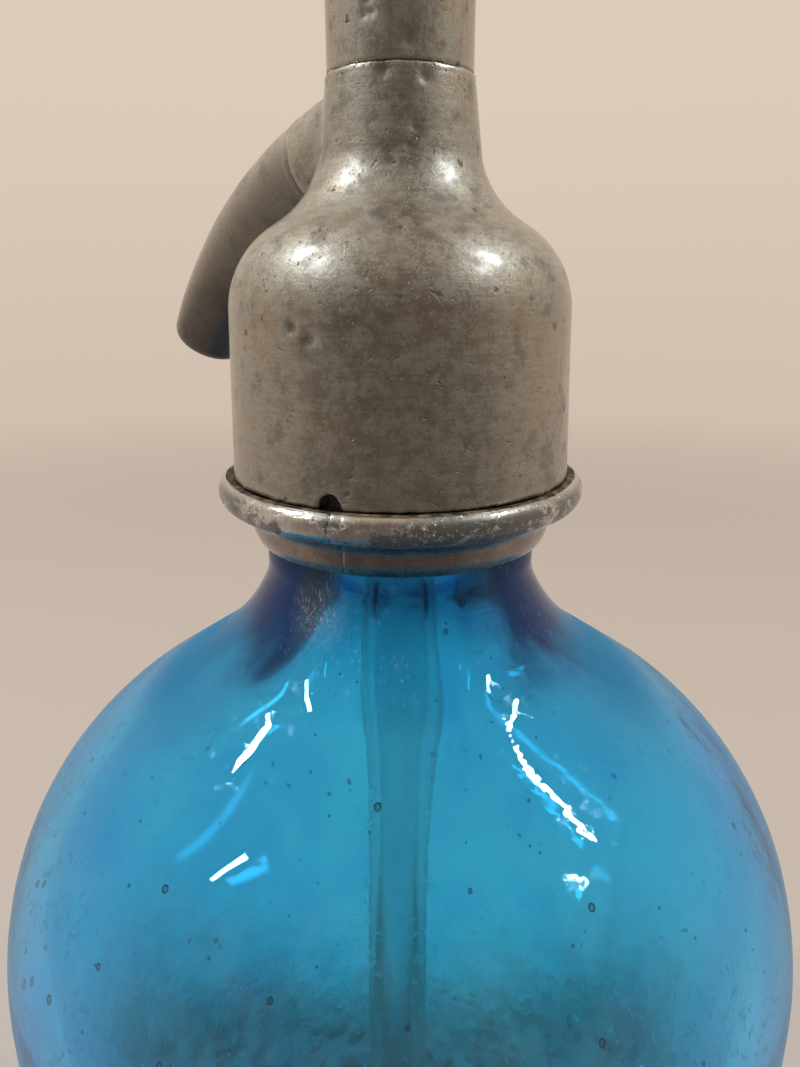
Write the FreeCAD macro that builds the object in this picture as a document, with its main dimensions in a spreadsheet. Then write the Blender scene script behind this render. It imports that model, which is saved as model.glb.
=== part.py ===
import FreeCAD, Part

import math
import os
from types import SimpleNamespace

import Sketcher
from FreeCAD import Placement, Rotation, Vector

# A soda siphon: a thick blown glass bottle with a cast pewter head, a bent spout on one side and a thumb
# lever on the other. Millimetres and degrees. The origin is the middle of the foot, +Z is up, the spout
# points along +X and the lever along -X. Heights are measured from the table unless a comment says more.

SIZES = {
    # Glass bottle
    "bottle_radius": 55.0,
    "glass_wall": 5.0,
    "wall_height": 123.63,            # where the straight wall ends and the shoulder begins
    "shoulder_radius": 38.8,          # rounding between the wall and the shoulder's cone
    "shoulder_slope": 34.2,           # the cone's slope below level
    "neck_radius": 17.5,
    "neck_flare_radius": 26.0,        # hollow rounding from the cone up to the neck
    "neck_flare_slope": 64.0,         # slope where that rounding ends
    "neck_blend_radius": 7.0,
    "neck_length": 2.2,               # straight neck, up to the slope into the groove
    "heel_radius": 8.0,
    "foot_inner_radius": 39.0,        # the ring it stands on runs from here out to the heel
    "punt_depth": 5.0,                # hollow under the foot
    "floor_height": 10.0,             # inside floor, at the foot of the wall
    "floor_rise": 4.0,                # how far the floor rises to its middle
    "inner_heel_radius": 10.0,
    "mouth_radius": 11.3,
    "inner_flare_radius": 20.0,
    "waist_depth": 2.3,               # the groove under the glass lip, below the neck's surface
    "waist_slope": 3.2,               # height of the slope into it
    "waist_length": 7.6,
    "lip_step": 1.4,                  # how far the lip stands out from the groove
    "lip_slope": 1.6,
    "lip_height": 6.0,
    "lip_round": 1.3,
    # Split neck ring
    "ring_below_waist": 2.4,          # its lower edge, below the foot of the groove
    "ring_foot_wall": 0.65,
    "ring_throat": 0.1,               # straight bore at its lower edge
    "ring_band_step": 0.9,            # how far the band stands out from the lower edge
    "ring_band_height": 2.7,
    "ring_band_round": 4.0,
    "bead_overhang": 1.95,            # how far the rolled bead stands out from the skirt
    "bead_rise": 6.7,                 # middle of the bead, above the ring's lower edge
    "bead_round": 2.0,
    "bead_crest_angle": 62.0,         # where its round face meets the slope to the skirt
    "channel_round": 2.4,
    "seat_inset": 0.35,               # the flat under the skirt, in from the skirt's face
    "seat_rise": 1.2,                 # above the middle of the bead
    "ring_below_lip": 0.7,
    "ring_glass_gap": 0.25,
    "ring_split_gap": 1.0,            # degrees left open at each split
    "ring_split_angle": 121.0,
    # Screw between the ring and the head
    "thread_wall": 1.75,              # of the ring, round the glass lip
    "thread_gap": 0.05,
    # Head casting
    "skirt_gap": 0.5,                 # above the ring's seat
    "skirt_wall": 2.7,
    "skirt_height": 19.6,
    "skirt_taper": 0.65,              # how much slimmer it is at the top
    "dome_round": 11.5,               # rounding of its shoulder
    "dome_slope": 31.5,
    "flare_round": 11.0,              # hollow rounding from the shoulder to the column
    "flare_slope": 75.0,
    "column_foot_radius": 9.55,
    "column_radius": 8.55,            # just under the seam
    "column_rise": 25.5,              # the seam, above the skirt's top
    "spigot_step": 2.15,              # how much slimmer the spigot is than the column
    "spigot_length": 5.5,
    "spigot_wall": 1.4,
    "bore_over_ring": 1.0,
    "relief_step": 0.8,               # how much wider the relief is than the glass lip
    "relief_chamfer": 0.8,
    "head_gasket_thickness": 1.6,
    "valve_chamber_radius": 7.0,
    "valve_chamber_height": 13.0,
    "notch_radius": 1.2,
    "notch_height": 1.6,
    "notch_angle": 119.0,
    "notch_reach": 8.0,
    # Spout
    "spout_below_seam": 3.6,          # where its axis meets the column's axis
    "spout_tilt": 15.2,
    "spout_radius": 6.2,
    "spout_bore": 3.4,
    "spout_bend": 65.5,
    "spout_turn": 38.0,
    "spout_tip_round": 1.3,
    "spout_start": 15.4,              # along its tilted axis, from the column's axis
    "spigot_in_boss": 4.0,
    "spout_spigot_wall": 1.5,
    "boss_wall": 0.1,                 # how far the boss stands out from the spout
    "solder_gap": 0.05,
    # Dip tube and its holder
    "tube_radius": 4.65,
    "tube_bore": 2.7,
    "tube_floor_gap": 3.0,
    "tube_top_gap": 0.2,
    "neck_gasket_thickness": 1.8,
    "holder_flange_inset": 0.2,       # in from the glass lip's edge
    "holder_flange_thickness": 1.6,
    "holder_sleeve_wall": 1.3,
    "holder_sleeve_length": 9.8,
    "holder_web": 1.0,
    "holder_hole_radius": 3.4,
    "grommet_wall": 1.85,
    "grommet_gap": 0.05,
    "grommet_short": 0.4,
    "head_gasket_gap": 0.4,
    # Valve
    "seat_thickness": 3.0,
    "seat_bore": 3.6,
    "seat_lip_width": 1.0,
    "seat_lip_height": 0.6,
    "seat_gap": 0.1,
    "disc_radius": 5.0,
    "disc_thickness": 2.6,
    "cup_floor": 1.4,
    "cup_rim": 1.2,
    "cup_wall": 0.65,
    "cup_gap": 0.05,
    "valve_nut_across": 6.5,
    "valve_nut_height": 2.4,
    "stem_radius": 1.75,
    "stem_tail": 0.5,
    "stem_flange_radius": 2.9,
    "stem_flange": 0.8,
    "running_gap": 0.05,
    # Upper column and its packing
    "seam_step": 0.2,                 # how much slimmer it is than the lower column
    "upper_length": 25.1,
    "upper_edge": 0.35,               # chamfer at the seam
    "column_gasket_thickness": 1.0,
    "floor_thickness": 2.2,
    "upper_wall": 3.35,
    "packing_gap": 0.1,
    "lower_packing": 2.2,
    "upper_packing": 1.8,
    "washer_thickness": 1.0,
    "spring_length": 7.8,
    "spring_wire": 0.9,
    "spring_mean_radius": 3.5,
    "spring_turns": 4.5,
    "spring_gap": 0.1,
    "collar_radius": 4.2,
    "collar_thickness": 1.5,
    "cap_plug": 1.4,
    "cap_across": 11.8,
    "cap_height": 2.2,
    "button_radius": 3.4,
    "button_height": 2.4,
    "button_edge": 0.6,
    "button_gap": 0.2,
    # Lever, its ears and its pin
    "pivot_offset": 10.0,
    "pivot_rise": 10.8,               # above the column's top
    "ear_radius": 4.2,
    "ear_thickness": 2.6,
    "ear_gap": 0.3,
    "ear_drop": 9.0,                  # their foot, below the column's top
    "ear_shelf": 1.4,                 # their shelf, above it
    "lever_hub_width": 8.0,
    "lever_hub_radius": 4.3,
    "lever_nose_radius": 2.6,
    "lever_thickness": 4.0,
    "lever_flat": 18.0,               # straight stretch from the pivot
    "lever_bend": 47.0,
    "lever_turn": 48.0,
    "lever_end": 12.0,                # straight stretch after the bend
    "lever_tip_width": 17.0,
    "lever_waist": 22.0,              # where the widening begins, from the pivot
    "pin_radius": 1.75,
    "pin_head_radius": 3.2,
    "pin_head_height": 1.8,
    "pin_slot_width": 0.8,
    "pin_slot_depth": 0.9,
    "pin_tail": 0.7,
    "pin_nut_across": 6.0,
    "pin_nut_height": 2.2,
}


class Size:
    """A length or an angle, with its value and the sheet formula that it comes from."""

    def __init__(self, value, text):
        self.value = value
        self.text = text

    def __add__(self, other):
        other = as_size(other)
        return Size(self.value + other.value, f"({self.text} + {other.text})")

    def __sub__(self, other):
        other = as_size(other)
        return Size(self.value - other.value, f"({self.text} - {other.text})")

    def __mul__(self, other):
        other = as_size(other)
        return Size(self.value * other.value, f"({self.text} * {other.text})")

    def __truediv__(self, other):
        other = as_size(other)
        return Size(self.value / other.value, f"({self.text} / {other.text})")

    def __neg__(self):
        return Size(-self.value, f"(0 - {self.text})")


def as_size(number):
    return number if isinstance(number, Size) else Size(float(number), f"{number}")


def sine(angle):
    return Size(math.sin(math.radians(angle.value)), f"sin({angle.text})")


def cosine(angle):
    return Size(math.cos(math.radians(angle.value)), f"cos({angle.text})")


def tangent(angle):
    return Size(math.tan(math.radians(angle.value)), f"tan({angle.text})")


doc = FreeCAD.newDocument("siphon")
sheet = doc.addObject("Spreadsheet::Sheet", "sizes")
for row, (alias, number) in enumerate(SIZES.items(), start=1):
    sheet.set(f"A{row}", alias)
    sheet.set(f"B{row}", str(number))
    sheet.setAlias(f"B{row}", alias)
doc.recompute()
s = SimpleNamespace(**{alias: Size(number, f"sizes.{alias}") for alias, number in SIZES.items()})

ZERO = as_size(0)
LEFT = 1         # an arc that turns to the left on its way to its point
RIGHT = -1
CLEAR = 1.0      # how far a cutting tool stands past the metal it cuts
HEX_SIDES = 6
HEX_CHAMFER = as_size(30)
HALF_TURN = as_size(180)


def arc_piece(start, end, radius, turn):
    """The short arc from start to end, and which of its ends is which."""
    along = end - start
    half = along.Length / 2
    side = Vector(-along.y, along.x, 0).normalize() * turn
    centre = (start + end) / 2 + side * math.sqrt(max(radius**2 - half**2, 0))
    first, last = (start, end) if turn == LEFT else (end, start)
    angles = [math.atan2(point.y - centre.y, point.x - centre.x) for point in (first, last)]
    if angles[1] < angles[0]:
        angles[1] += 2 * math.pi
    circle = Part.Circle(centre, Vector(0, 0, 1), radius)
    ends = (1, 2) if turn == LEFT else (2, 1)
    return Part.ArcOfCircle(circle, *angles), ends


def hold(sketch, kind, geometry, end, size, name):
    """Tie one coordinate of a corner, or an arc's radius, to its formula."""
    if kind == "Radius":
        index = sketch.addConstraint(Sketcher.Constraint("Radius", geometry, size.value))
    elif size.text == "0":
        axis = -2 if kind == "DistanceX" else -1
        sketch.addConstraint(Sketcher.Constraint("PointOnObject", geometry, end, axis))
        return
    else:
        index = sketch.addConstraint(Sketcher.Constraint(kind, -1, 1, geometry, end, size.value))
    sketch.renameConstraint(index, name)
    sketch.setExpression(f"Constraints.{name}", size.text)


def draw(sketch, outline):
    """Closed outline. A corner is (x, y), or (x, y, radius, turn) when an arc leads to it."""
    corners = [[as_size(part) for part in corner[:2]] for corner in outline]
    points = [Vector(x.value, y.value, 0) for x, y in corners]
    ends = []
    for number, corner in enumerate(outline):
        start = points[number - 1]
        if len(corner) == 2:
            piece, pair = Part.LineSegment(start, points[number]), (1, 2)
        else:
            piece, pair = arc_piece(start, points[number], as_size(corner[2]).value, corner[3])
        geometry = sketch.addGeometry(piece)
        ends.append((geometry, pair))
        if len(corner) == 4:
            hold(sketch, "Radius", geometry, 0, as_size(corner[2]), f"radius{number}")
    for number, (geometry, pair) in enumerate(ends):
        after, after_pair = ends[(number + 1) % len(ends)]
        sketch.addConstraint(Sketcher.Constraint("Coincident", geometry, pair[1], after, after_pair[0]))
        hold(sketch, "DistanceX", geometry, pair[1], corners[number][0], f"x{number}")
        hold(sketch, "DistanceY", geometry, pair[1], corners[number][1], f"y{number}")


def sketch_on(body, role, name):
    plane = next(part for part in body.Origin.OriginFeatures if part.Role == role)
    sketch = body.newObject("Sketcher::SketchObject", name)
    sketch.AttachmentSupport = [(plane, "")]
    sketch.MapMode = "FlatFace"
    return sketch


def new_body(name):
    body = doc.addObject("PartDesign::Body", name)
    body.Label = name
    return body


def turned(name, outline, angle=None):
    """A piece turned about its own Z axis from half of its section."""
    body = new_body(name)
    sketch = sketch_on(body, "XZ_Plane", f"{name}_section")
    draw(sketch, outline)
    turn = body.newObject("PartDesign::Revolution", f"{name}_turn")
    turn.Profile = sketch
    turn.ReferenceAxis = (sketch, ["V_Axis"])
    if angle is None:
        turn.Angle = 360
    else:
        turn.Angle = angle.value
        turn.setExpression("Angle", angle.text)
    return body


def plate(name, outline, width, role="XZ_Plane"):
    """A flat piece of one thickness, with its outline on the middle plane."""
    body = new_body(name)
    sketch = sketch_on(body, role, f"{name}_outline")
    draw(sketch, outline)
    pad = body.newObject("PartDesign::Pad", f"{name}_pad")
    pad.Profile = sketch
    pad.Midplane = True
    pad.Length = width.value
    pad.setExpression("Length", width.text)
    return body


def ring(name, bore, radius, low, high):
    """A plain washer or tube between two heights."""
    return turned(name, [(bore, low), (radius, low), (radius, high), (bore, high)])


def place(piece, x=ZERO, y=ZERO, z=ZERO, axis=(0, 0, 1), angle=ZERO):
    piece.Placement = Placement(Vector(x.value, y.value, z.value), Rotation(Vector(*axis), angle.value))
    for name, size in (("Base.x", x), ("Base.y", y), ("Base.z", z), ("Rotation.Angle", angle)):
        if size.text != "0":
            piece.setExpression(f"Placement.{name}", size.text)
    return piece


def rod(name, radius, length, **where):
    """A round bar from its base point, along Z until it is turned."""
    piece = doc.addObject("Part::Cylinder", name)
    piece.setExpression("Radius", radius.text)
    piece.setExpression("Height", length.text)
    return place(piece, **where)


def bar(name, length, width, height, **where):
    piece = doc.addObject("Part::Box", name)
    for side, size in (("Length", length), ("Width", width), ("Height", height)):
        piece.setExpression(side, size.text)
    return place(piece, **where)


def joined(name, pieces):
    whole = doc.addObject("Part::MultiFuse", name)
    whole.Shapes = pieces
    whole.Refine = True
    whole.Label = name
    return whole


def shared(name, pieces):
    whole = doc.addObject("Part::MultiCommon", name)
    whole.Shapes = pieces
    whole.Label = name
    return whole


def carved(name, blank, tools):
    """A blank with one tool, or several joined ones, cut out of it."""
    tool = tools[0] if len(tools) == 1 else joined(f"{name}_tools", tools)
    whole = doc.addObject("Part::Cut", name)
    whole.Base = blank
    whole.Tool = tool
    whole.Label = name
    return whole


def hex_blank(name, across, low, height):
    """A six-sided block with its top and bottom corners turned off."""
    prism = doc.addObject("Part::Prism", f"{name}_prism")
    prism.Polygon = HEX_SIDES
    corner = across / 2 / cosine(HEX_CHAMFER)
    prism.setExpression("Circumradius", corner.text)
    prism.setExpression("Height", height.text)
    place(prism, z=low)
    inner = across / 2
    fall = (corner - inner) * tangent(HEX_CHAMFER)
    high = low + height
    turned_block = turned(f"{name}_corners", [
        (0, low), (inner, low), (corner, low + fall), (corner, high - fall), (inner, high), (0, high)])
    return shared(f"{name}_block", [prism, turned_block])


# Glass bottle. The outline climbs the outside from the middle of the punt, goes over the lip and comes
# down the inside to the middle of the floor.

def shoulder_points(centre_radius, start_height, radius):
    """Where the shoulder's rounding runs into its cone."""
    return (centre_radius + radius * sine(s.shoulder_slope),
            start_height + radius * cosine(s.shoulder_slope))


shoulder_centre = s.bottle_radius - s.shoulder_radius
cone_low = shoulder_points(shoulder_centre, s.wall_height, s.shoulder_radius)
blend_radius = s.neck_radius + s.neck_blend_radius * (as_size(1) - sine(s.neck_flare_slope))
cone_high_radius = blend_radius + s.neck_flare_radius * (sine(s.neck_flare_slope) - sine(s.shoulder_slope))
cone_high = cone_low[1] + (cone_low[0] - cone_high_radius) * tangent(s.shoulder_slope)
flare_top = cone_high + s.neck_flare_radius * (cosine(s.shoulder_slope) - cosine(s.neck_flare_slope))
neck_foot = flare_top + s.neck_blend_radius * cosine(s.neck_flare_slope)
neck_top = neck_foot + s.neck_length
waist_radius = s.neck_radius - s.waist_depth
waist_low = neck_top + s.waist_slope
waist_high = waist_low + s.waist_length
lip_radius = waist_radius + s.lip_step
lip_low = waist_high + s.lip_slope
lip_top = lip_low + s.lip_height

inner_radius = s.bottle_radius - s.glass_wall
inner_shoulder = s.shoulder_radius - s.glass_wall
inner_low = shoulder_points(shoulder_centre, s.wall_height, inner_shoulder)
inner_high_radius = s.mouth_radius + s.inner_flare_radius * (as_size(1) - sine(s.shoulder_slope))
inner_high = inner_low[1] + (inner_low[0] - inner_high_radius) * tangent(s.shoulder_slope)
bore_foot = inner_high + s.inner_flare_radius * cosine(s.shoulder_slope)


def cap_radius(half_width, rise):
    """Radius of the shallow cap that rises this much over this half width."""
    return (half_width * half_width + rise * rise) / rise / 2


floor_half = inner_radius - s.inner_heel_radius
glass_bottle = turned("glass_bottle", [
    (0, s.punt_depth),
    (s.foot_inner_radius, 0, cap_radius(s.foot_inner_radius, s.punt_depth), RIGHT),
    (s.bottle_radius - s.heel_radius, 0),
    (s.bottle_radius, s.heel_radius, s.heel_radius, LEFT),
    (s.bottle_radius, s.wall_height),
    (cone_low[0], cone_low[1], s.shoulder_radius, LEFT),
    (cone_high_radius, cone_high),
    (blend_radius, flare_top, s.neck_flare_radius, RIGHT),
    (s.neck_radius, neck_foot, s.neck_blend_radius, RIGHT),
    (s.neck_radius, neck_top),
    (waist_radius, waist_low),
    (waist_radius, waist_high),
    (lip_radius, lip_low),
    (lip_radius, lip_top - s.lip_round),
    (lip_radius - s.lip_round, lip_top, s.lip_round, LEFT),
    (s.mouth_radius + s.lip_round, lip_top),
    (s.mouth_radius, lip_top - s.lip_round, s.lip_round, LEFT),
    (s.mouth_radius, bore_foot),
    (inner_high_radius, inner_high, s.inner_flare_radius, LEFT),
    (inner_low[0], inner_low[1]),
    (inner_radius, s.wall_height, inner_shoulder, RIGHT),
    (inner_radius, s.floor_height + s.inner_heel_radius),
    (floor_half, s.floor_height, s.inner_heel_radius, RIGHT),
    (0, s.floor_height + s.floor_rise, cap_radius(floor_half, s.floor_rise), LEFT),
])

# Neck ring. It is cast in two halves that close round the waist under the glass lip. The rolled bead
# carries the skirt's edge, the thread above it takes the head, and the band below hides the glass.

ring_inner = waist_radius + s.ring_glass_gap
ring_throat_radius = s.neck_radius + s.ring_glass_gap
ring_foot_radius = ring_throat_radius + s.ring_foot_wall
ring_bottom = waist_low - s.ring_below_waist
ring_top = lip_top - s.ring_below_lip
lip_room = lip_radius + s.ring_glass_gap
thread_radius = lip_room + s.thread_wall
skirt_bore = thread_radius + s.thread_gap
skirt_radius = skirt_bore + s.skirt_wall
bead_radius = skirt_radius + s.bead_overhang
bead_centre = bead_radius - s.bead_round
bead_height = ring_bottom + s.bead_rise
ring_seat = bead_height + s.seat_rise
ring_section = [
    (ring_throat_radius, ring_bottom),
    (ring_foot_radius, ring_bottom),
    (ring_foot_radius + s.ring_band_step, ring_bottom + s.ring_band_height, s.ring_band_round, LEFT),
    (bead_centre, bead_height - s.bead_round, s.channel_round, RIGHT),
    (bead_radius, bead_height, s.bead_round, LEFT),
    (bead_centre + s.bead_round * cosine(s.bead_crest_angle),
     bead_height + s.bead_round * sine(s.bead_crest_angle), s.bead_round, LEFT),
    (skirt_radius - s.seat_inset, ring_seat),
    (thread_radius, ring_seat),
    (thread_radius, ring_top),
    (lip_room, ring_top),
    (lip_room, lip_low - s.ring_glass_gap),
    (ring_inner, waist_high - s.ring_glass_gap),
    (ring_inner, waist_low + s.ring_glass_gap),
    (ring_throat_radius, ring_bottom + s.ring_throat),
]
half_ring = HALF_TURN - s.ring_split_gap
neck_ring_left = turned("neck_ring_left", ring_section, half_ring)
place(neck_ring_left, angle=s.ring_split_angle)
neck_ring_right = turned("neck_ring_right", ring_section, half_ring)
place(neck_ring_right, angle=s.ring_split_angle + HALF_TURN)

# Dip tube with its holder. The flange is clamped between two gaskets on the glass lip, and a rubber
# sleeve grips the tube inside the holder.

holder_low = lip_top + s.neck_gasket_thickness
holder_high = holder_low + s.holder_flange_thickness
holder_flange_radius = lip_radius - s.holder_flange_inset
sleeve_bottom = holder_low - s.holder_sleeve_length
grommet_inner = s.tube_radius + s.grommet_gap
grommet_outer = grommet_inner + s.grommet_wall
sleeve_inner = grommet_outer + s.grommet_gap
sleeve_outer = sleeve_inner + s.holder_sleeve_wall
web_low = holder_high - s.holder_web

neck_gasket = ring("neck_gasket", s.mouth_radius + s.ring_glass_gap, lip_radius, lip_top, holder_low)
tube_holder = turned("tube_holder", [
    (sleeve_inner, sleeve_bottom),
    (sleeve_outer, sleeve_bottom),
    (sleeve_outer, holder_low),
    (holder_flange_radius, holder_low),
    (holder_flange_radius, holder_high),
    (s.holder_hole_radius, holder_high),
    (s.holder_hole_radius, web_low),
    (sleeve_inner, web_low),
])
tube_grommet = ring("tube_grommet", grommet_inner, grommet_outer,
                    sleeve_bottom + s.grommet_short, web_low - s.grommet_gap)
tube_bottom = s.floor_height + s.floor_rise + s.tube_floor_gap
dip_tube = ring("dip_tube", s.tube_bore, s.tube_radius, tube_bottom, web_low - s.tube_top_gap)
relief_radius = lip_radius + s.relief_step
gasket_face = holder_high + s.head_gasket_thickness
head_gasket = ring("head_gasket", s.valve_chamber_radius + s.head_gasket_gap,
                   relief_radius - s.head_gasket_gap, holder_high, gasket_face)

# Head casting: the threaded skirt, the rounded shoulder, the flare and the lower column, with the boss
# that takes the spout and the spigot that takes the upper column.

skirt_bottom = ring_seat + s.skirt_gap
skirt_top = skirt_bottom + s.skirt_height
skirt_top_radius = skirt_radius - s.skirt_taper
dome_end_radius = skirt_top_radius - s.dome_round * (as_size(1) - sine(s.dome_slope))
dome_end = skirt_top + s.dome_round * cosine(s.dome_slope)
flare_start_radius = s.column_foot_radius + s.flare_round * (sine(s.flare_slope) - sine(s.dome_slope))
flare_start = dome_end + (dome_end_radius - flare_start_radius) * tangent(s.dome_slope)
flare_end = flare_start + s.flare_round * (cosine(s.dome_slope) - cosine(s.flare_slope))
seam_height = skirt_top + s.column_rise
spigot_radius = s.column_radius - s.spigot_step
spigot_top = seam_height + s.spigot_length
head_blank = turned("head_blank", [
    (0, skirt_bottom),
    (skirt_radius, skirt_bottom),
    (skirt_top_radius, skirt_top),
    (dome_end_radius, dome_end, s.dome_round, LEFT),
    (flare_start_radius, flare_start),
    (s.column_foot_radius, flare_end, s.flare_round, RIGHT),
    (s.column_radius, seam_height),
    (spigot_radius, seam_height),
    (spigot_radius, spigot_top),
    (0, spigot_top),
])
skirt_bore_top = ring_top + s.bore_over_ring
valve_chamber_top = gasket_face + s.valve_chamber_height
spout_chamber_radius = spigot_radius - s.spigot_wall
head_hollow = turned("head_hollow", [
    (0, skirt_bottom - CLEAR),
    (skirt_bore, skirt_bottom - CLEAR),
    (skirt_bore, skirt_bore_top),
    (relief_radius, skirt_bore_top + s.relief_chamfer),
    (relief_radius, gasket_face),
    (s.valve_chamber_radius, gasket_face),
    (s.valve_chamber_radius, valve_chamber_top),
    (spout_chamber_radius, valve_chamber_top),
    (spout_chamber_radius, spigot_top + CLEAR),
    (0, spigot_top + CLEAR),
])
spout_height = seam_height - s.spout_below_seam
spout_spigot_radius = s.spout_bore + s.spout_spigot_wall
boss_radius = s.spout_radius + s.boss_wall
spout_axis = {"z": spout_height, "axis": (0, 1, 0), "angle": s.spout_tilt + 90}
boss_blank = rod("boss_blank", boss_radius, s.spout_start, **spout_axis)
boss_bore = rod("boss_bore", s.spout_bore, s.spout_start + CLEAR, **spout_axis)
boss_socket = turned("boss_socket", [
    (0, s.spout_start - s.spigot_in_boss - s.solder_gap),
    (spout_spigot_radius + s.solder_gap, s.spout_start - s.spigot_in_boss - s.solder_gap),
    (spout_spigot_radius + s.solder_gap, s.spout_start + CLEAR),
    (0, s.spout_start + CLEAR),
])
place(boss_socket, **spout_axis)
seam_face = ring("seam_face", spigot_radius, s.spout_start + boss_radius,
                 seam_height, spigot_top + boss_radius)
notch = rod("notch", s.notch_radius, s.notch_reach)
notch_way = Rotation(Vector(0, 0, 1), s.notch_angle.value)
notch_start = notch_way.multVec(Vector(skirt_radius.value - s.notch_reach.value / 2, 0, 0))
notch_start.z = (skirt_bottom + s.notch_height - s.notch_radius).value
notch.Placement = Placement(notch_start, notch_way.multiply(Rotation(Vector(0, 1, 0), 90)))
head_body = carved("head_body", joined("head_casting", [head_blank, boss_blank]),
                   [head_hollow, boss_bore, boss_socket, seam_face, notch])

# Spout: a bent tube with a rounded tip, soldered into the boss by its spigot. It is drawn in a frame of
# its own, with X along its tilted start.

spout_pipe = new_body("spout_pipe")
spout_path = sketch_on(spout_pipe, "XZ_Plane", "spout_path")
spout_reach = s.spout_bend * sine(s.spout_turn)
spout_fall = -(s.spout_bend * (as_size(1) - cosine(s.spout_turn)))
path_arc, path_ends = arc_piece(
    Vector(0, 0, 0), Vector(spout_reach.value, spout_fall.value, 0), s.spout_bend.value, RIGHT)
spout_path.addGeometry(path_arc)
spout_path.addConstraint(Sketcher.Constraint("Coincident", 0, path_ends[0], -1, 1))
hold(spout_path, "DistanceX", 0, path_ends[1], spout_reach, "reach")
hold(spout_path, "DistanceY", 0, path_ends[1], spout_fall, "fall")
hold(spout_path, "Radius", 0, 0, s.spout_bend, "bend")
spout_section = sketch_on(spout_pipe, "YZ_Plane", "spout_section")
for number, radius in enumerate((s.spout_radius, s.spout_bore)):
    spout_section.addGeometry(Part.Circle(Vector(0, 0, 0), Vector(0, 0, 1), radius.value))
    spout_section.addConstraint(Sketcher.Constraint("Coincident", number, 3, -1, 1))
    hold(spout_section, "Radius", number, 0, radius, f"radius{number}")
doc.recompute()
pipe = spout_pipe.newObject("PartDesign::AdditivePipe", "spout_bent_tube")
pipe.Profile = spout_section
pipe.Spine = (spout_path, ["Edge1"])
doc.recompute()
far_rim = max((edge for edge in pipe.Shape.Edges if len(edge.Vertexes) == 1),
              key=lambda edge: edge.BoundBox.Center.x + edge.Length / 1000)
rim_name = next(f"Edge{number}" for number, edge in enumerate(pipe.Shape.Edges, start=1)
                if edge.isSame(far_rim))
tip_fillet = spout_pipe.newObject("PartDesign::Fillet", "spout_tip")
tip_fillet.Base = (pipe, [rim_name])
tip_fillet.Radius = s.spout_tip_round.value
tip_fillet.setExpression("Radius", s.spout_tip_round.text)
spout_spigot = ring("spout_spigot", s.spout_bore, spout_spigot_radius, -s.spigot_in_boss, ZERO)
spout_spigot.Placement = Placement(Vector(), Rotation(Vector(0, 1, 0), 90))
spout = joined("spout", [spout_pipe, spout_spigot])
place(spout, x=s.spout_start * cosine(s.spout_tilt), z=spout_height - s.spout_start * sine(s.spout_tilt),
      axis=(0, 1, 0), angle=s.spout_tilt)

# Valve: a rubber disc in a brass cup, pulled up against the seat by the stem.

seat_low = valve_chamber_top - s.seat_thickness
seat_lip = seat_low - s.seat_lip_height
valve_seat = turned("valve_seat", [
    (s.seat_bore, seat_lip),
    (s.seat_bore + s.seat_lip_width, seat_lip),
    (s.seat_bore + s.seat_lip_width, seat_low),
    (s.valve_chamber_radius, seat_low),
    (s.valve_chamber_radius, valve_chamber_top),
    (s.seat_bore, valve_chamber_top),
])
disc_top = seat_lip - s.seat_gap
disc_low = disc_top - s.disc_thickness
cup_low = disc_low - s.cup_floor
cup_inner = s.disc_radius + s.cup_gap
nut_low = cup_low - s.valve_nut_height
stem_low = nut_low - s.stem_tail
valve_disc = ring("valve_disc", s.stem_radius, s.disc_radius, disc_low, disc_top)
valve_cup = turned("valve_cup", [
    (s.stem_radius, cup_low),
    (cup_inner + s.cup_wall, cup_low),
    (cup_inner + s.cup_wall, disc_low + s.cup_rim),
    (cup_inner, disc_low + s.cup_rim),
    (cup_inner, disc_low),
    (s.stem_radius, disc_low),
])
valve_nut = carved("valve_nut", hex_blank("valve_nut", s.valve_nut_across, nut_low, s.valve_nut_height),
                   [rod("valve_nut_hole", s.stem_radius, s.valve_nut_height + 2 * CLEAR,
                        z=nut_low - CLEAR)])

# Upper column: the tube above the seam, with the packing chamber inside and the lever's two ears on the
# spout's side.

upper_radius = s.column_radius - s.seam_step
upper_top = seam_height + s.upper_length
packing_chamber_radius = upper_radius - s.upper_wall
pivot_height = upper_top + s.pivot_rise
socket_top = spigot_top + s.column_gasket_thickness
floor_top = socket_top + s.floor_thickness
socket_radius = spigot_radius + s.thread_gap
guide_radius = s.stem_radius + s.running_gap
upper_blank = turned("upper_blank", [
    (0, seam_height),
    (upper_radius - s.upper_edge, seam_height),
    (upper_radius, seam_height + s.upper_edge),
    (upper_radius, upper_top),
    (0, upper_top),
])
ear_foot = upper_top - s.ear_drop
ear_out = s.pivot_offset + s.ear_radius
ear_in = s.pivot_offset - s.ear_radius
slot_width = s.lever_hub_width + s.ear_gap * 2
ears_width = slot_width + s.ear_thickness * 2
ears_blank = plate("ears_blank", [
    (upper_radius / 2, ear_foot),
    (upper_radius, ear_foot),
    (ear_out, upper_top + s.ear_shelf),
    (ear_out, pivot_height),
    (s.pivot_offset, pivot_height + s.ear_radius, s.ear_radius, LEFT),
    (ear_in, pivot_height, s.ear_radius, LEFT),
    (ear_in, upper_top),
    (upper_radius / 2, upper_top),
], ears_width)
upper_hollow = turned("upper_hollow", [
    (0, seam_height - CLEAR),
    (socket_radius, seam_height - CLEAR),
    (socket_radius, socket_top),
    (guide_radius, socket_top),
    (guide_radius, floor_top),
    (packing_chamber_radius, floor_top),
    (packing_chamber_radius, upper_top + CLEAR),
    (0, upper_top + CLEAR),
])
ear_slot = bar("ear_slot", s.ear_radius * 2 + 2 * CLEAR, slot_width,
               pivot_height + s.ear_radius + CLEAR - upper_top,
               x=ear_in - CLEAR, y=-(slot_width / 2), z=upper_top)
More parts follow.
